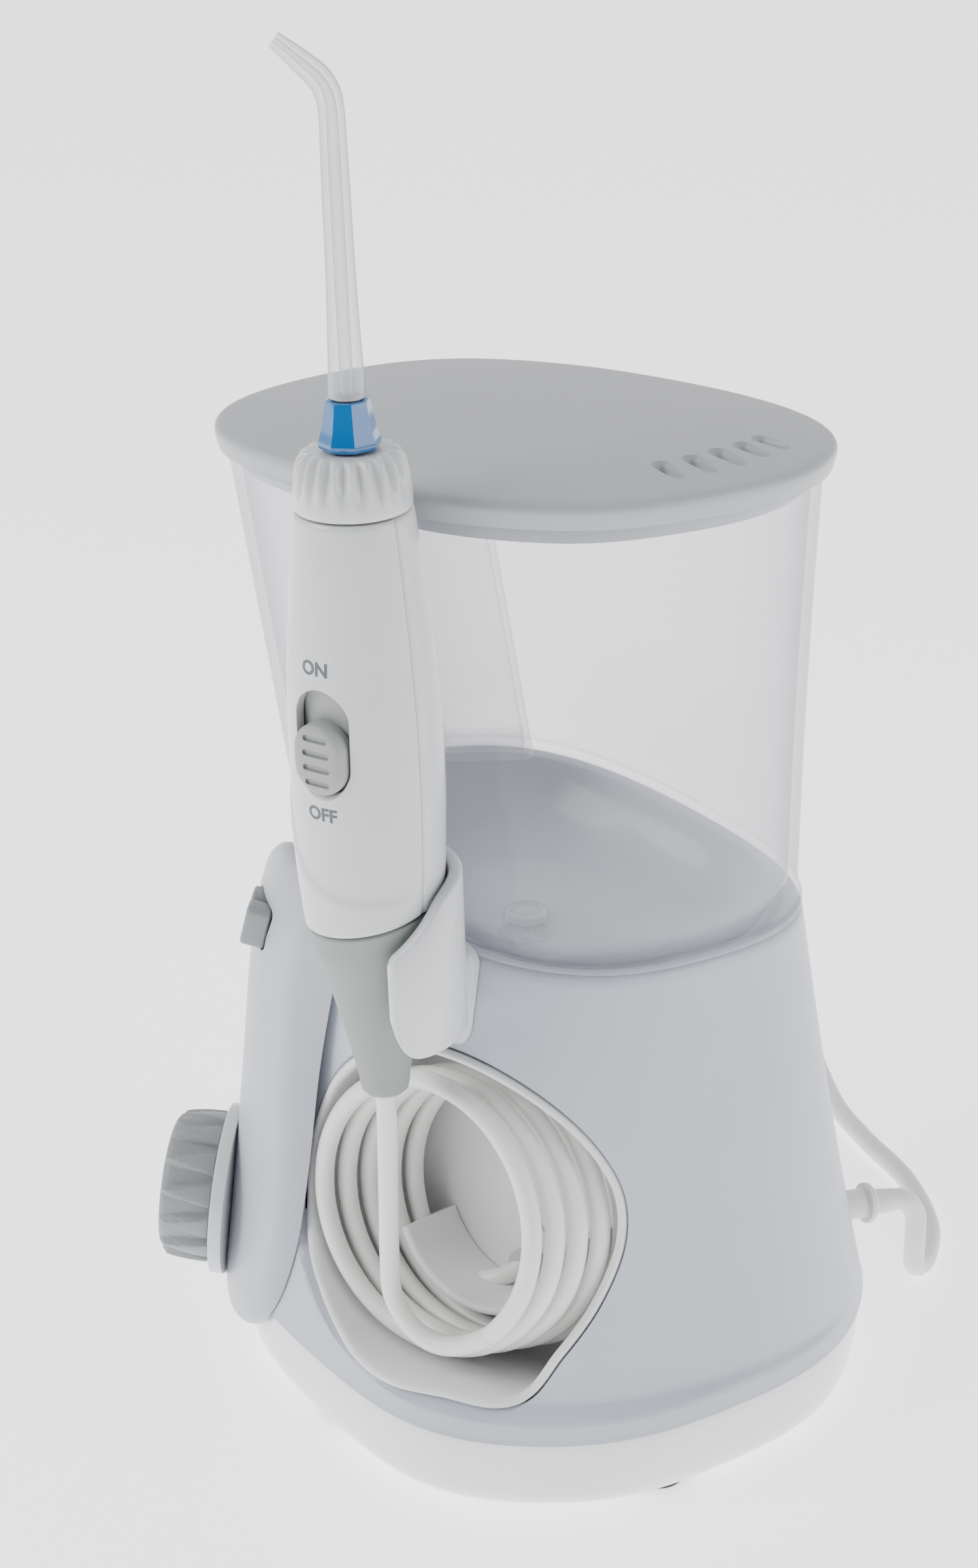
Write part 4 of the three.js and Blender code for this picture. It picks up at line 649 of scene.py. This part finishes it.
L = LID_Z
lr = [lid_ring(L + 3.9, 26), lid_ring(L + 3.8, 18), lid_ring(L + 3.2, 11), lid_ring(L + 2.6, 8.2), lid_ring(L + 2.0, 7.2), lid_ring(L - 3.4, 7.0), lid_ring(L - 3.85, 6.6), lid_ring(L - 3.9, 5.7), lid_ring(L - 3.6, 5.1), lid_ring(L - 0.2, 4.75), lid_ring(L + 0.1, 4.5), lid_ring(L + 0.1, 1.3), lid_ring(L, 0.9), lid_ring(L + 0.12, 0.62),
      lid_ring(L + 0.9, 0.4), lid_ring(L + 1.9, 0.15), lid_ring(L + 2.6, 0.05), lid_ring(L + 3.1, 0.02), lid_ring(L + 3.55, 0.12), lid_ring(L + 3.95, 0.36), lid_ring(L + 4.28, 0.75), lid_ring(L + 4.52, 1.3), lid_ring(L + 4.66, 2.0), lid_ring(L + 4.8, 3.4), lid_ring(L + 5.05, 6.5), lid_ring(L + 5.45, 11), lid_ring(L + 5.8, 16), lid_ring(L + 6.05, 21), lid_ring(L + 6.2, 27), lid_ring(L + 6.25, 33)]
lid = make("lid_cover", *shell(lr), LIDM, 42)
VENTS = [((16.2, 19.1), (22.0, 22.9)), ((12.5, 24.1), (18.5, 28.4)), ((8.6, 28.4), (14.2, 33.3)), ((4.3, 32.4), (9.3, 37.2)), ((0.3, 35.4), (4.2, 40.8))]
vc = []
for p, q in VENTS:
    l = math.hypot(q[0] - p[0], q[1] - p[1]); ang = math.atan2(q[1] - p[1], q[0] - p[0]) - math.pi / 2
    M = Matrix.Rotation(ang, 4, "Z"); M.translation = Vector(((p[0] + q[0]) / 2, (p[1] + q[1]) / 2, 0))
    c = capsule(2.4, l)
    zz = L + 4.75
    vc.append(moved(shell([np.column_stack([inset(c, -g), np.full(len(c), z)]) for g, z in ((0, 175), (0, zz), (0.25, zz + 0.35), (0.9, zz + 1.1), (2.0, 200))]), M))
boolean(lid, vc, sharp=40)
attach(lid, "cover"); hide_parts("lid")

# ------------------------------------------------------------------ handle
lean = rad(1.75)
AX = np.array([math.sin(rad(5)) * math.sin(lean), -math.cos(rad(5)) * math.sin(lean), math.cos(lean)])
FACE = -28.0
HM = frame_at((40.8, -26.7, 113.7), AX, (math.cos(rad(FACE)), math.sin(rad(FACE)), 0))
BODY = [(-2, 11.1), (0, 11.3), (5, 11.8), (15, 12.5), (30, 13.0), (42, 12.8), (54, 12.1), (66, 11.0), (77.3, 9.75)]
bodyr = lambda z: float(hermite(BODY, z))
SW = [(250, 66), (270, 45), (290, 31), (310, 22), (330, 16.4), (350, 13.4), (370, 12.0), (395, 11.6), (420, 12.0)]


def joint_z(a, r, gap=0.0):
    """height of the slanted joint between shells and cone"""
    return 5.5 + gap + math.tan(rad(12)) * r * math.cos(rad(a - 123))


def ledge(a, z):
    """the band under the swoosh stands a little proud of the grip above it"""
    d = (a % 360 + 360) % 360
    d = d if d > 240 else d + 360
    if d < 250 or d > 442: return 0.0
    e = float(hermite(SW, min(d, 420)))
    t = 1.0 - float(smooth(e - 0.9, e + 1.1, z))
    return 0.55 * t * float(smooth(250, 268, d)) * (1 - float(smooth(400, 440, d)))


def arc_shell(a0, a1, seg, z1=77.15):
    """part of the handle's tube, from angle a0 to a1, with softened edges"""
    rings = []
    for k, a in enumerate(np.linspace(a0, a1, seg)):
        edge = min(k, seg - 1 - k)
        drop = (0.28, 0.06)[edge] if edge < 2 else 0.0
        z0 = joint_z(a, 11.8, 0.3)
        zs = np.concatenate([[z0, z0 + 0.3], np.linspace(z0 + 0.9, z1 - 0.8, 96), [z1 - 0.25, z1]])
        prof = []
        for n_z, z in enumerate(zs):
            e = 0.34 if n_z in (0, len(zs) - 1) else (0.07 if n_z in (1, len(zs) - 2) else 0.0)
            prof.append((bodyr(z) - e - drop + ledge(a, z), z))
        for z in zs[::-1]:
            prof.append((bodyr(z) - 1.8, z))
        A = rad(a)
        rings.append(np.array([(r * math.cos(A), r * math.sin(A), z) for r, z in prof]))
    return shell(rings)


SPLIT = 79.0
front = make("handle_front", *moved(arc_shell(-SPLIT + 0.4, SPLIT - 0.4, 90), HM), HANDLE, 42)
SLOT_Z = 40.5
MX = Matrix(((0, 0, 1, 0), (1, 0, 0, 0), (0, 1, 0, 0), (0, 0, 0, 1)))       # local x,y,z of a plate -> handle's y,z,x
slot_cut = []
for g, d in ((0, 5.0), (0, 12.1), (0.25, 12.45), (0.8, 13.0), (1.9, 14.5)):
    c = inset(capsule(10.6, 18.4, 20), -g); slot_cut.append(np.column_stack([np.full(len(c), d), c[:, 0], c[:, 1] + SLOT_Z]))
boolean(front, [moved(shell(slot_cut), HM)], sharp=38)
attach(front, "handpiece"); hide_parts("handle_front_shell")
rear = make("handle_rear", *moved(arc_shell(SPLIT, 360 - SPLIT, 110), HM), HANDLE, 42)
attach(rear, "handpiece"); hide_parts("handle_rear_shell")

cn = 128; ca_ = np.arange(cn) * 360.0 / cn
cp = catmull([(11.8, 5.5), (11.35, 0.8), (10.75, -2.0), (9.9, -5.0), (8.9, -8.6), (7.3, -15.5), (5.8, -22), (4.75, -27), (4.35, -30.0)], 6)


def cone_ring(r, z, k):
    """k = 1 at the slanted top edge, 0 below its influence"""
    zz = np.array([z + k * (joint_z(a, r, 0.0) - 5.5) for a in ca_])
    return np.stack([r * np.cos(np.radians(ca_)), r * np.sin(np.radians(ca_)), zz], -1)


cr_ = [cone_ring(10.4, 5.28, 1.0), cone_ring(11.35, 5.25, 1.0), cone_ring(11.62, 5.1, 1.0), cone_ring(11.75, 4.8, 1.0)]
for r, z in cp[1:]:
    cr_.append(cone_ring(r, z, float(smooth(-9.0, 4.8, z))))
for r, z in ((4.2, -30.7), (3.7, -31.2), (2.25, -31.2), (2.1, -30.9), (2.1, -24)):
    cr_.append(cone_ring(r, z, 0.0))
cone = make("handle_cone", *moved(shell(cr_), HM), CONE, 42)
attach(cone, "handpiece"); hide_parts("hose_cone")

# scalloped tip ring
RN = 20 * 14
rp = [(77.6, 9.0, 9.0, 0), (77.6, 9.5, 9.5, 0), (77.75, 9.66, 9.66, 0), (78.6, 9.68, 9.68, 0), (79.6, 9.62, 9.62, .1), (80.3, 9.45, 9.58, .2), (81.2, 9.05, 9.5, .4), (82.4, 8.55, 9.38, .6), (83.6, 8.05, 9.22, .8), (84.8, 7.6, 9.0, 1), (85.7, 7.3, 8.72, 1), (86.35, 7.0, 8.3, 1), (86.75, 6.75, 7.8, 1), (86.98, 6.4, 7.2, 1), (87.0, 6.0, 6.4, 1), (86.95, 3.6, 3.6, 1), (86.6, 3.55, 3.55, 0), (79.5, 3.5, 3.5, 0)]
rl = []
for z, r0, r1, k in rp:
    w = 0.5 + 0.5 * np.cos(2 * np.pi * np.arange(RN) * 20 / RN); w = w ** (1.15 - 0.85 * (1 - k))
    r = r0 + (r1 - r0) * w
    rl.append(np.stack([r * np.cos(2 * np.pi * np.arange(RN) / RN), r * np.sin(2 * np.pi * np.arange(RN) / RN), np.full(RN, z)], -1))
rot = make("tip_ring", *moved(shell(rl), HM), HANDLE, 48)
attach(rot, "rotator"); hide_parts("tip_rotator")

# collar: eight flats that fade to round at its top
cl = []
for z, r, flat in ((87.3, 4.1, 0), (87.32, 4.5, .5), (87.5, 4.8, 1), (88.1, 4.95, 1), (88.7, 4.85, 1), (89.4, 4.6, 1), (90.5, 4.3, 1), (92.0, 4.02, 1), (93.6, 3.72, 1), (94.7, 3.5, .9), (95.05, 3.4, .7), (95.25, 3.1, .3), (95.2, 2.55, 0), (94, 2.45, 0), (87.5, 2.45, 0)):
    th = 2 * np.pi * np.arange(96) / 96
    f = np.cos(np.pi / 8) / np.cos((th % (np.pi / 4)) - np.pi / 8)
    rr_ = r * (1 + flat * (f / np.cos(np.pi / 8) * 0.96 - 1)) if flat else np.full(96, r)
    cl.append(np.stack([rr_ * np.cos(th), rr_ * np.sin(th), np.full(96, z)], -1))
collar = make("collar_blue_part", *moved(shell(cl, wrap=True), HM), BLUE, 30)
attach(collar, "tip"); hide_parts("tip_collar")

# jet tip: bent clear tube with its bore
TIP = [(0, 79.8, 1.95), (0, 86, 2.05), (0, 93, 2.15), (0, 95.3, 2.2), (0, 95.5, 2.9), (0, 96.4, 3.0), (0, 100, 2.85), (0, 104, 2.7), (0, 110, 2.5), (0, 117, 2.34), (0, 127, 2.24), (0, 134, 2.12), (0, 138.4, 2.05), (0.2, 141.4, 2.03), (0.85, 143.4, 2.05), (2.0, 145.1, 2.0), (3.6, 146.6, 1.85), (5.6, 148.4, 1.6), (7.4, 149.95, 1.35), (8.1, 150.5, 1.25)]
tp = catmull([(x, z, r) for x, z, r in TIP], 5); sel = []
bend = rad(-85 - FACE)


def tip_rings(scale=None, fixed=None):
    out = []
    for i in range(len(tp)):
        p = tp[i]; q = tp[min(i + 1, len(tp) - 1)]; o = tp[max(i - 1, 0)]
        d = np.array([q[0] - o[0], q[1] - o[1]]); d /= np.linalg.norm(d)
        u = np.array([d[1], -d[0]])
        r = fixed(i) if fixed else p[2]
        th = 2 * np.pi * np.arange(40) / 40
        x = p[0] + r * np.cos(th) * u[0]; z = p[1] + r * np.cos(th) * u[1]; y = r * np.sin(th)
        out.append(np.stack([x * math.cos(bend) - y * math.sin(bend), x * math.sin(bend) + y * math.cos(bend), z], -1))
    return out


n_ = len(tp)
outer = tip_rings(); inner = tip_rings(fixed=lambda i: lerp(1.05, 0.45, smooth(0.45, 1.0, i / n_)) if tp[i][2] > 1.1 else 0.4)
tip = make("jet_tip_tube", *moved(shell(outer + inner[::-1], wrap=True), HM), TIPC, 50)
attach(tip, "tip"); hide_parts("jet_tip")

# slider: oval button with finger ridges on a curved plate
sc = capsule(9.6, 12.6, 24); sl = []
for g, d in ((1.2, 10.2), (0.2, 10.4), (0.0, 11.6), (0.0, 13.0), (0.15, 13.5), (0.55, 13.85), (1.2, 14.05), (2.4, 14.15), (3.6, 14.18)):
    c = inset(sc, g); sl.append(np.column_stack([np.full(len(c), d), c[:, 0], c[:, 1] + SLOT_Z - 2.6]))
slider = make("slider_button", *moved(shell(sl), HM), SLIDER, 45)
ridges = []
for k in range(4):
    c = capsule(1.1, 5.6 - 0.5 * abs(k - 1.5), 10); c = c[:, ::-1]
    ridges.append(moved(shell([np.column_stack([np.full(len(c), d), inset(c, g)[:, 0], inset(c, g)[:, 1] + SLOT_Z - 2.6 + 2.6 * (k - 1.5)]) for g, d in ((0.0, 13.6), (0.0, 14.1), (-0.35, 14.5))]), HM))
boolean(slider, ridges, sharp=40)
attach(slider, "slider"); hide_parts("flow_slider")
pa = np.radians(np.linspace(-36, 36, 28)); pl = []
for a_ in pa:
    pl.append(np.array([(r * math.cos(a_), r * math.sin(a_), z) for r, z in ((9.9, SLOT_Z - 17.5), (10.55, SLOT_Z - 17.5), (10.6, SLOT_Z + 16.5), (9.9, SLOT_Z + 16.5))]))
plate = make("slider_plate", *moved(shell(pl), HM), SLIDER, 45)
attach(plate, "slider")

# ON and OFF, wrapped on the front shell
def marking(word, az, z, size):
    cu = bpy.data.curves.new("mark_" + word, "FONT"); cu.body = word; cu.size = size / 1000.0; cu.align_x = "CENTER"; cu.align_y = "CENTER"; cu.extrude = 0.00004; cu.resolution_u = 6; cu.offset = 0.00009
    t = bpy.data.objects.new("mark_" + word, cu); bpy.context.scene.collection.objects.link(t)
    me = bpy.data.meshes.new_from_object(t.evaluated_get(bpy.context.evaluated_depsgraph_get()))
    bpy.data.objects.remove(t)
    M = np.array(HM)
    for v in me.vertices:
        zz = z + v.co.y * 1000.0; r = bodyr(zz) + 0.02 + v.co.z * 1000.0
        a = rad(az - FACE) + v.co.x * 1000.0 / bodyr(zz)
        p = M @ np.array([r * math.cos(a), r * math.sin(a), zz, 1.0])
        v.co = Vector(((p[0] + CX) / 1000.0, (p[1] + CY) / 1000.0, p[2] / 1000.0))
    me.materials.clear(); me.materials.append(INK)
    o = bpy.data.objects.new("marking_" + word, me); bpy.context.scene.collection.objects.link(o)
    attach(o, "handpiece"); return o


marking("ON", -31.0, 53.3, 3.3)
marking("OFF", -29.0, 27.8, 3.3)

# ------------------------------------------------------------------ cradle
inv = HM.inverted()
CR_IN, CR_OUT = 12.75, 15.2
th = np.linspace(42.5, 259, 150)


def top_z(a):      # height of the clip's upper lip round the handle's axis
    x = 14.0 * math.cos(rad(a))
    z = 11.55 - 0.944 * x
    return z if z < 9.5 else 12.4 - 2.9 * math.exp(-(z - 9.5) / 2.9)


def low_z(a):      # its lower edge, rounded up at both ends
    return -18.2 + 7.5 * math.exp(-((a - 42.5) / 7.0) ** 1.2) + 5.0 * math.exp(-((259 - a) / 8.0) ** 1.2)


cr = []
for k, a in enumerate(th):
    edge = min(k, len(th) - 1 - k)
    q = [0.75, 0.32, 0.1][edge] if edge < 3 else 0.0
    zt, zb = top_z(a) - q * 1.2, low_z(a) + q * 1.2
    ri, ro = CR_IN + q * 0.9, CR_OUT - q * 0.9
    m_ = (ri + ro) / 2; prof = [(ri, zb + 0.7), (ri, lerp(zb, zt, .5)), (ri, zt - 0.7), (ri + 0.35, zt - 0.15), (m_, zt), (ro - 0.35, zt - 0.15), (ro, zt - 0.7), (ro, lerp(zb, zt, .5)), (ro, zb + 0.7), (ro - 0.35, zb + 0.15), (m_, zb), (ri + 0.35, zb + 0.15)]
    A_ = rad(a); cr.append(np.array([(r * math.cos(A_), r * math.sin(A_), z) for r, z in prof]))
clip = make("cradle_clip", *moved(shell(cr), HM), CRADLE, 50)
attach(clip, "base"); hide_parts("handle_cradle")
# neck from the clip to the housing, its far end following the housing's side
nk = []
outl = round_rect(19, 17.5, 3.4, 8)
HMn = np.array(HM)


def hp(x, y, z):
    return (HMn @ np.array([x, y, z, 1.0]))[:3]


def far_x(y, z):
    lo, hi = -40.0, -12.0
    for _ in range(22):
        m_ = (lo + hi) / 2
        if depth_inside(hp(m_, y, z), True, GAP) > 0: lo = m_
        else: hi = m_
    return hi


for s_, g in ((0.0, 0.0), (0.12, -0.0), (0.5, 0.0), (0.8, -0.0), (0.93, -0.25), (1.0, -0.9)):
    c = inset(outl, g); ring_ = []
    for y, z in c:
        near = -math.sqrt(max(CR_IN ** 2 + 12 - y * y, 1.0)); x1 = far_x(y, z - 17)
        ring_.append(hp(lerp(near, x1, s_), y, z - 17))
    nk.append(np.array(ring_))
neck = make("cradle_neck", *shell(nk), CRADLE, 42)
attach(neck, "base")

# ------------------------------------------------------------------ hose
HD = 3.7; R0 = 25.7
cone_end = HMn @ np.array([0, 0, -30.0, 1.0]); rel = cone_end[:3] - WELL_C
ce = (float(rel @ wellE), float(rel @ wellW), float(rel @ wellN))


def coil_point(theta):
    """theta in degrees from the start of the first turn at -40"""
    turns = (theta + 40.0) / 360.0
    return np.array([R0 * math.cos(rad(theta)) + 1.9 * turns, R0 * math.sin(rad(theta)), -0.4 - 4.45 * turns])


def uv_to_world(P):
    return WELL_C + P[:, :1] * wellE + P[:, 1:2] * wellW + P[:, 2:3] * wellN


def resample(P, stepmm):
    d = np.r_[0, np.cumsum(np.linalg.norm(np.diff(P, axis=0), axis=1))]; n = max(2, int(round(d[-1] / stepmm)) + 1)
    s = np.linspace(0, d[-1], n)
    return np.stack([np.interp(s, d, P[:, i]) for i in range(3)], -1), d[-1]


down = [np.array([ce[0], ce[1], ce[2]])]
for zdrop in (8, 18, 28, 37):
    p = cone_end[:3] + np.array([0.1, 0.2, -zdrop]) - WELL_C
    down.append(np.array([p @ wellE, p @ wellW, p @ wellN]))
run_uv = down + [np.array([-1.0, -15.2, 2.6]), np.array([2.6, -20.0, 1.7]), np.array([8.0, -22.2, 1.0]), np.array([13.8, -20.8, 0.3]), coil_point(-40)]
run_curve = catmull(run_uv + [coil_point(-30)], 14)[: -14 + 0]
run_world, run_len = resample(uv_to_world(run_curve), 1.4)


def tube_mesh(P, r, sides=20):
    T_ = np.gradient(P, axis=0); T_ /= np.linalg.norm(T_, axis=1, keepdims=True)
    u = np.array([0.3, 0.9, 0.1]); rings = []
    for p, t in zip(P, T_):
        u = u - t * (u @ t); u /= np.linalg.norm(u); w = np.cross(t, u)
        th_ = 2 * np.pi * np.arange(sides) / sides
        rings.append(p + r * (np.cos(th_)[:, None] * u + np.sin(th_)[:, None] * w))
    return shell(rings)


def row(P):
    return (np.asarray(P, float) + np.array([CX, CY, 0.0])) / 1000.0


hose_run = make("hose_run_tube", *tube_mesh(run_world, HD / 2), HOSE, 60)
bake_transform(hose_run)
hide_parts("hose_run")

cv = [coil_point(t) for t in np.arange(-40, 1670, 6.0)]
last = cv[-1]
end_uv = [last, np.array([-7.6, -19.0, -21.4]), np.array([-1.0, -20.6, -22.2]), np.array([5.0, -18.4, -23.6]), np.array([8.6, -14.6, -25.0]), np.array([9.0, -14.0, -27.4])]
tail = catmull([cv[-2]] + end_uv, 8)[8:]
coil_uv = np.array(list(cv[:-1]) + list(tail))
coil_world, coil_len = resample(uv_to_world(coil_uv), 1.3)


def curve(name, P, r, m):
    cu = bpy.data.curves.new(name, "CURVE"); cu.dimensions = "3D"; cu.bevel_depth = r / 1000.0; cu.bevel_resolution = 6; cu.use_fill_caps = True
    sp = cu.splines.new("POLY"); sp.points.add(len(P) - 1)
    for q, p in zip(sp.points, row(P)):
        q.co = (*p, 1.0)
    sp.use_smooth = True
    cu.materials.append(m)
    o = bpy.data.objects.new(name, cu); bpy.context.scene.collection.objects.link(o)
    return o


coil = curve("hose_coil_turns", coil_world[::-1], HD / 2, HOSE)
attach(coil, "base"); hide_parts("hose_coil")

# ------------------------------------------------------------------ mains lead
gp = fillet([(2.1, -5), (3.0, -5), (3.0, 0.9), (4.1, 0.9), (4.1, 2.0), (3.5, 2.6), (2.1, 2.6), (2.1, -5)], [0, 0.2, 0, 0.2, 0.4, 0.3, 0.2, 0])
gl = make("gland_ring", *moved(lathe_ring(gp[:-1], 64), GLAND_M), CORDM, 40)
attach(gl, "base"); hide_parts("power_gland")
sp_ = fillet([(0, -4), (1.9, -4), (1.9, 2.9), (2.6, 2.9), (2.5, 5.5), (2.3, 8.0), (0, 8.0)], [0, 0.2, 0, 0.3, 0.5, 0.25, 0])
sr = make("strain_relief_boot", *moved(lathe(sp_, 64), GLAND_M), CORDM, 40)
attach(sr, "base"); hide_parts("strain_relief")
g_ = np.array(GDIR); al = lambda s: GLAND + g_ * s
COIL_C = np.array([-104.0, 14.0])
dn = lambda s, z: al(s) - np.array([0, 0, z])
lead = [al(7.0), al(8.4), al(9.4), dn(11.6, 1.3), dn(13.4, 4.6), dn(13.7, 10), (-23.5, 76.5, 5.2), (-30, 79.5, 2.7), (-43, 81, 2.3), (-60, 77, 2.3), (-75, 69, 2.3), (-90, 62.5, 2.3)]
pts = [np.array(p, float) for p in lead]
for t in np.arange(100, 180, 10):                       # drawn in to the outer turn
    r = lerp(45.0, 39.2, (t - 90) / 90); pts.append(np.array([COIL_C[0] + r * math.cos(rad(t)), COIL_C[1] + r * math.sin(rad(t)), 2.3]))
t = 180.0
path = []
for lay_, (ra, rb, z) in enumerate(((39.2, 29.8, 2.3), (29.8, 39.3, 6.8))):
    turns = 2.0
    for k in range(int(turns * 36)):
        u_ = k / (turns * 36); zc = z
        if lay_ == 1: zc = lerp(2.3, 6.8, float(smooth(0, 0.14, u_)))
        r = lerp(ra, rb, u_); path.append(np.array([COIL_C[0] + r * math.cos(rad(t)), COIL_C[1] + r * math.sin(rad(t)), zc])); t += 10
pts += path
x0 = pts[-1]
pts += [np.array([COIL_C[0] - 40.3, 4.0, 7.2]), np.array([-144.8, -6, 7.9]), np.array([-145.2, -17, 8.4]), np.array([-143.0, -28, 8.4]), np.array([-137.5, -37, 8.4]), np.array([-130, -42.5, 8.4]), np.array([-124.2, -44, 8.4]), np.array([-121.0, -44, 8.4])]
cw, cord_len = resample(catmull(pts, 6), 2.0)
cord_o = curve("mains_lead", cw, 2.2, CORDM)
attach(cord_o, "base"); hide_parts("cord_lead", "cord_coil")
# plug
PMt = Matrix.Rotation(math.pi, 4, "Z"); PMt.translation = Vector((-87, -44, 8.4))
prs = []
for x, w, h in ((0.0, 7.4, 5.6), (0.25, 8.4, 6.6), (1.0, 9.2, 7.4), (2.2, 9.4, 7.6), (12, 9.2, 7.5), (19, 9.0, 7.2), (22.5, 8.2, 6.6), (25, 6.4, 5.6), (27.5, 5.0, 5.0), (31, 3.9, 3.9), (35.2, 3.1, 3.1), (36, 2.7, 2.7)):
    e = 4.5 if x < 22 else 2.0 + 2.5 * max(0, (25 - x) / 3)
    th_ = 2 * np.pi * np.arange(64) / 64
    cx_, sx_ = np.cos(th_), np.sin(th_)
    k_ = (np.abs(cx_) ** e + np.abs(sx_) ** e) ** (-1 / e)
    prs.append(np.stack([np.full(64, x), w * cx_ * k_, h * sx_ * k_], -1))
plug = make("plug_moulding", *moved(shell(prs), PMt), CORDM, 40)
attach(plug, "base"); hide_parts("plug_body")

# ------------------------------------------------------------------ stage, light, camera
def stage_mat(name, c, rough):
    m, nt, b = nodes_of(name); b.inputs["Base Color"].default_value = (*c, 1); b.inputs["Roughness"].default_value = rough; b.inputs["Specular IOR Level"].default_value = 0.2
    return m


me = bpy.data.meshes.new("floor"); s_ = 3.0
me.from_pydata([(-s_, -s_, 0), (s_, -s_, 0), (s_, s_, 0), (-s_, s_, 0)], [], [(0, 1, 2, 3)])
floor = bpy.data.objects.new("floor", me); bpy.context.scene.collection.objects.link(floor); floor.location.z = -0.0002
fm = stage_mat("floor_white", (0.93, 0.93, 0.935), 0.6); fb = fm.node_tree.nodes["Principled BSDF"]
fb.inputs["Emission Color"].default_value = (1, 1, 1, 1); fb.inputs["Emission Strength"].default_value = 1.5
me.materials.append(fm)
world = bpy.data.worlds.new("studio"); bpy.context.scene.world = world; world.use_nodes = True
wn = world.node_tree; wb = wn.nodes["Background"]; wb.inputs["Strength"].default_value = 1.15
wt = wn.nodes.new("ShaderNodeTexCoord"); wx = wn.nodes.new("ShaderNodeSeparateXYZ"); wr = wn.nodes.new("ShaderNodeValToRGB"); wm = wn.nodes.new("ShaderNodeMapRange")
wn.links.new(wt.outputs["Generated"], wx.inputs["Vector"]); wn.links.new(wx.outputs["X"], wm.inputs["Value"])
wm.inputs["From Min"].default_value = -1.0; wm.inputs["From Max"].default_value = 1.0
wr.color_ramp.elements[0].position = 0.5; wr.color_ramp.elements[0].color = (1, 1, 1, 1)
wr.color_ramp.elements[1].position = 0.80; wr.color_ramp.elements[1].color = (0.10, 0.11, 0.13, 1)
wn.links.new(wm.outputs["Result"], wr.inputs["Fac"]); wn.links.new(wr.outputs["Color"], wb.inputs["Color"])


def area(name, loc, target, size, power, colour=(1, 1, 1)):
    l = bpy.data.lights.new(name, "AREA"); l.shape = "RECTANGLE"; l.size, l.size_y = size; l.energy = power; l.color = colour
    o = bpy.data.objects.new(name, l); bpy.context.scene.collection.objects.link(o); o.location = loc
    o.rotation_mode = "QUATERNION"; o.rotation_quaternion = (Vector(target) - Vector(loc)).to_track_quat("-Z", "Y")
    return o


area("key", (0.35, -0.75, 0.70), (0, 0, 0.1), (0.5, 0.5), 6.5)
area("fill", (0.35, 0.85, 0.45), (0, 0, 0.1), (0.5, 0.5), 3.0)

cam = bpy.data.cameras.new("view"); cam.lens = 60.0; cam.sensor_width = 36.0; cam.clip_start = 0.01; cam.clip_end = 20
co = bpy.data.objects.new("view", cam); bpy.context.scene.collection.objects.link(co)
f_ = Vector((-0.9029, -0.0790, -0.4226)).normalized(); r_ = Vector((-0.0872, 0.9962, 0)).normalized(); u_ = r_.cross(f_)
M = Matrix.Identity(4)
for i, c in enumerate((r_, u_, -f_)):
    M[0][i], M[1][i], M[2][i] = c
M.translation = Vector(((435.8 + CX) / 1000, (27.3 + CY) / 1000, 0.3276))
co.matrix_world = M
bpy.context.scene.camera = co
SHIFT_X, SHIFT_Y = 0.0, 0.0
cam.shift_x, cam.shift_y = SHIFT_X, SHIFT_Y

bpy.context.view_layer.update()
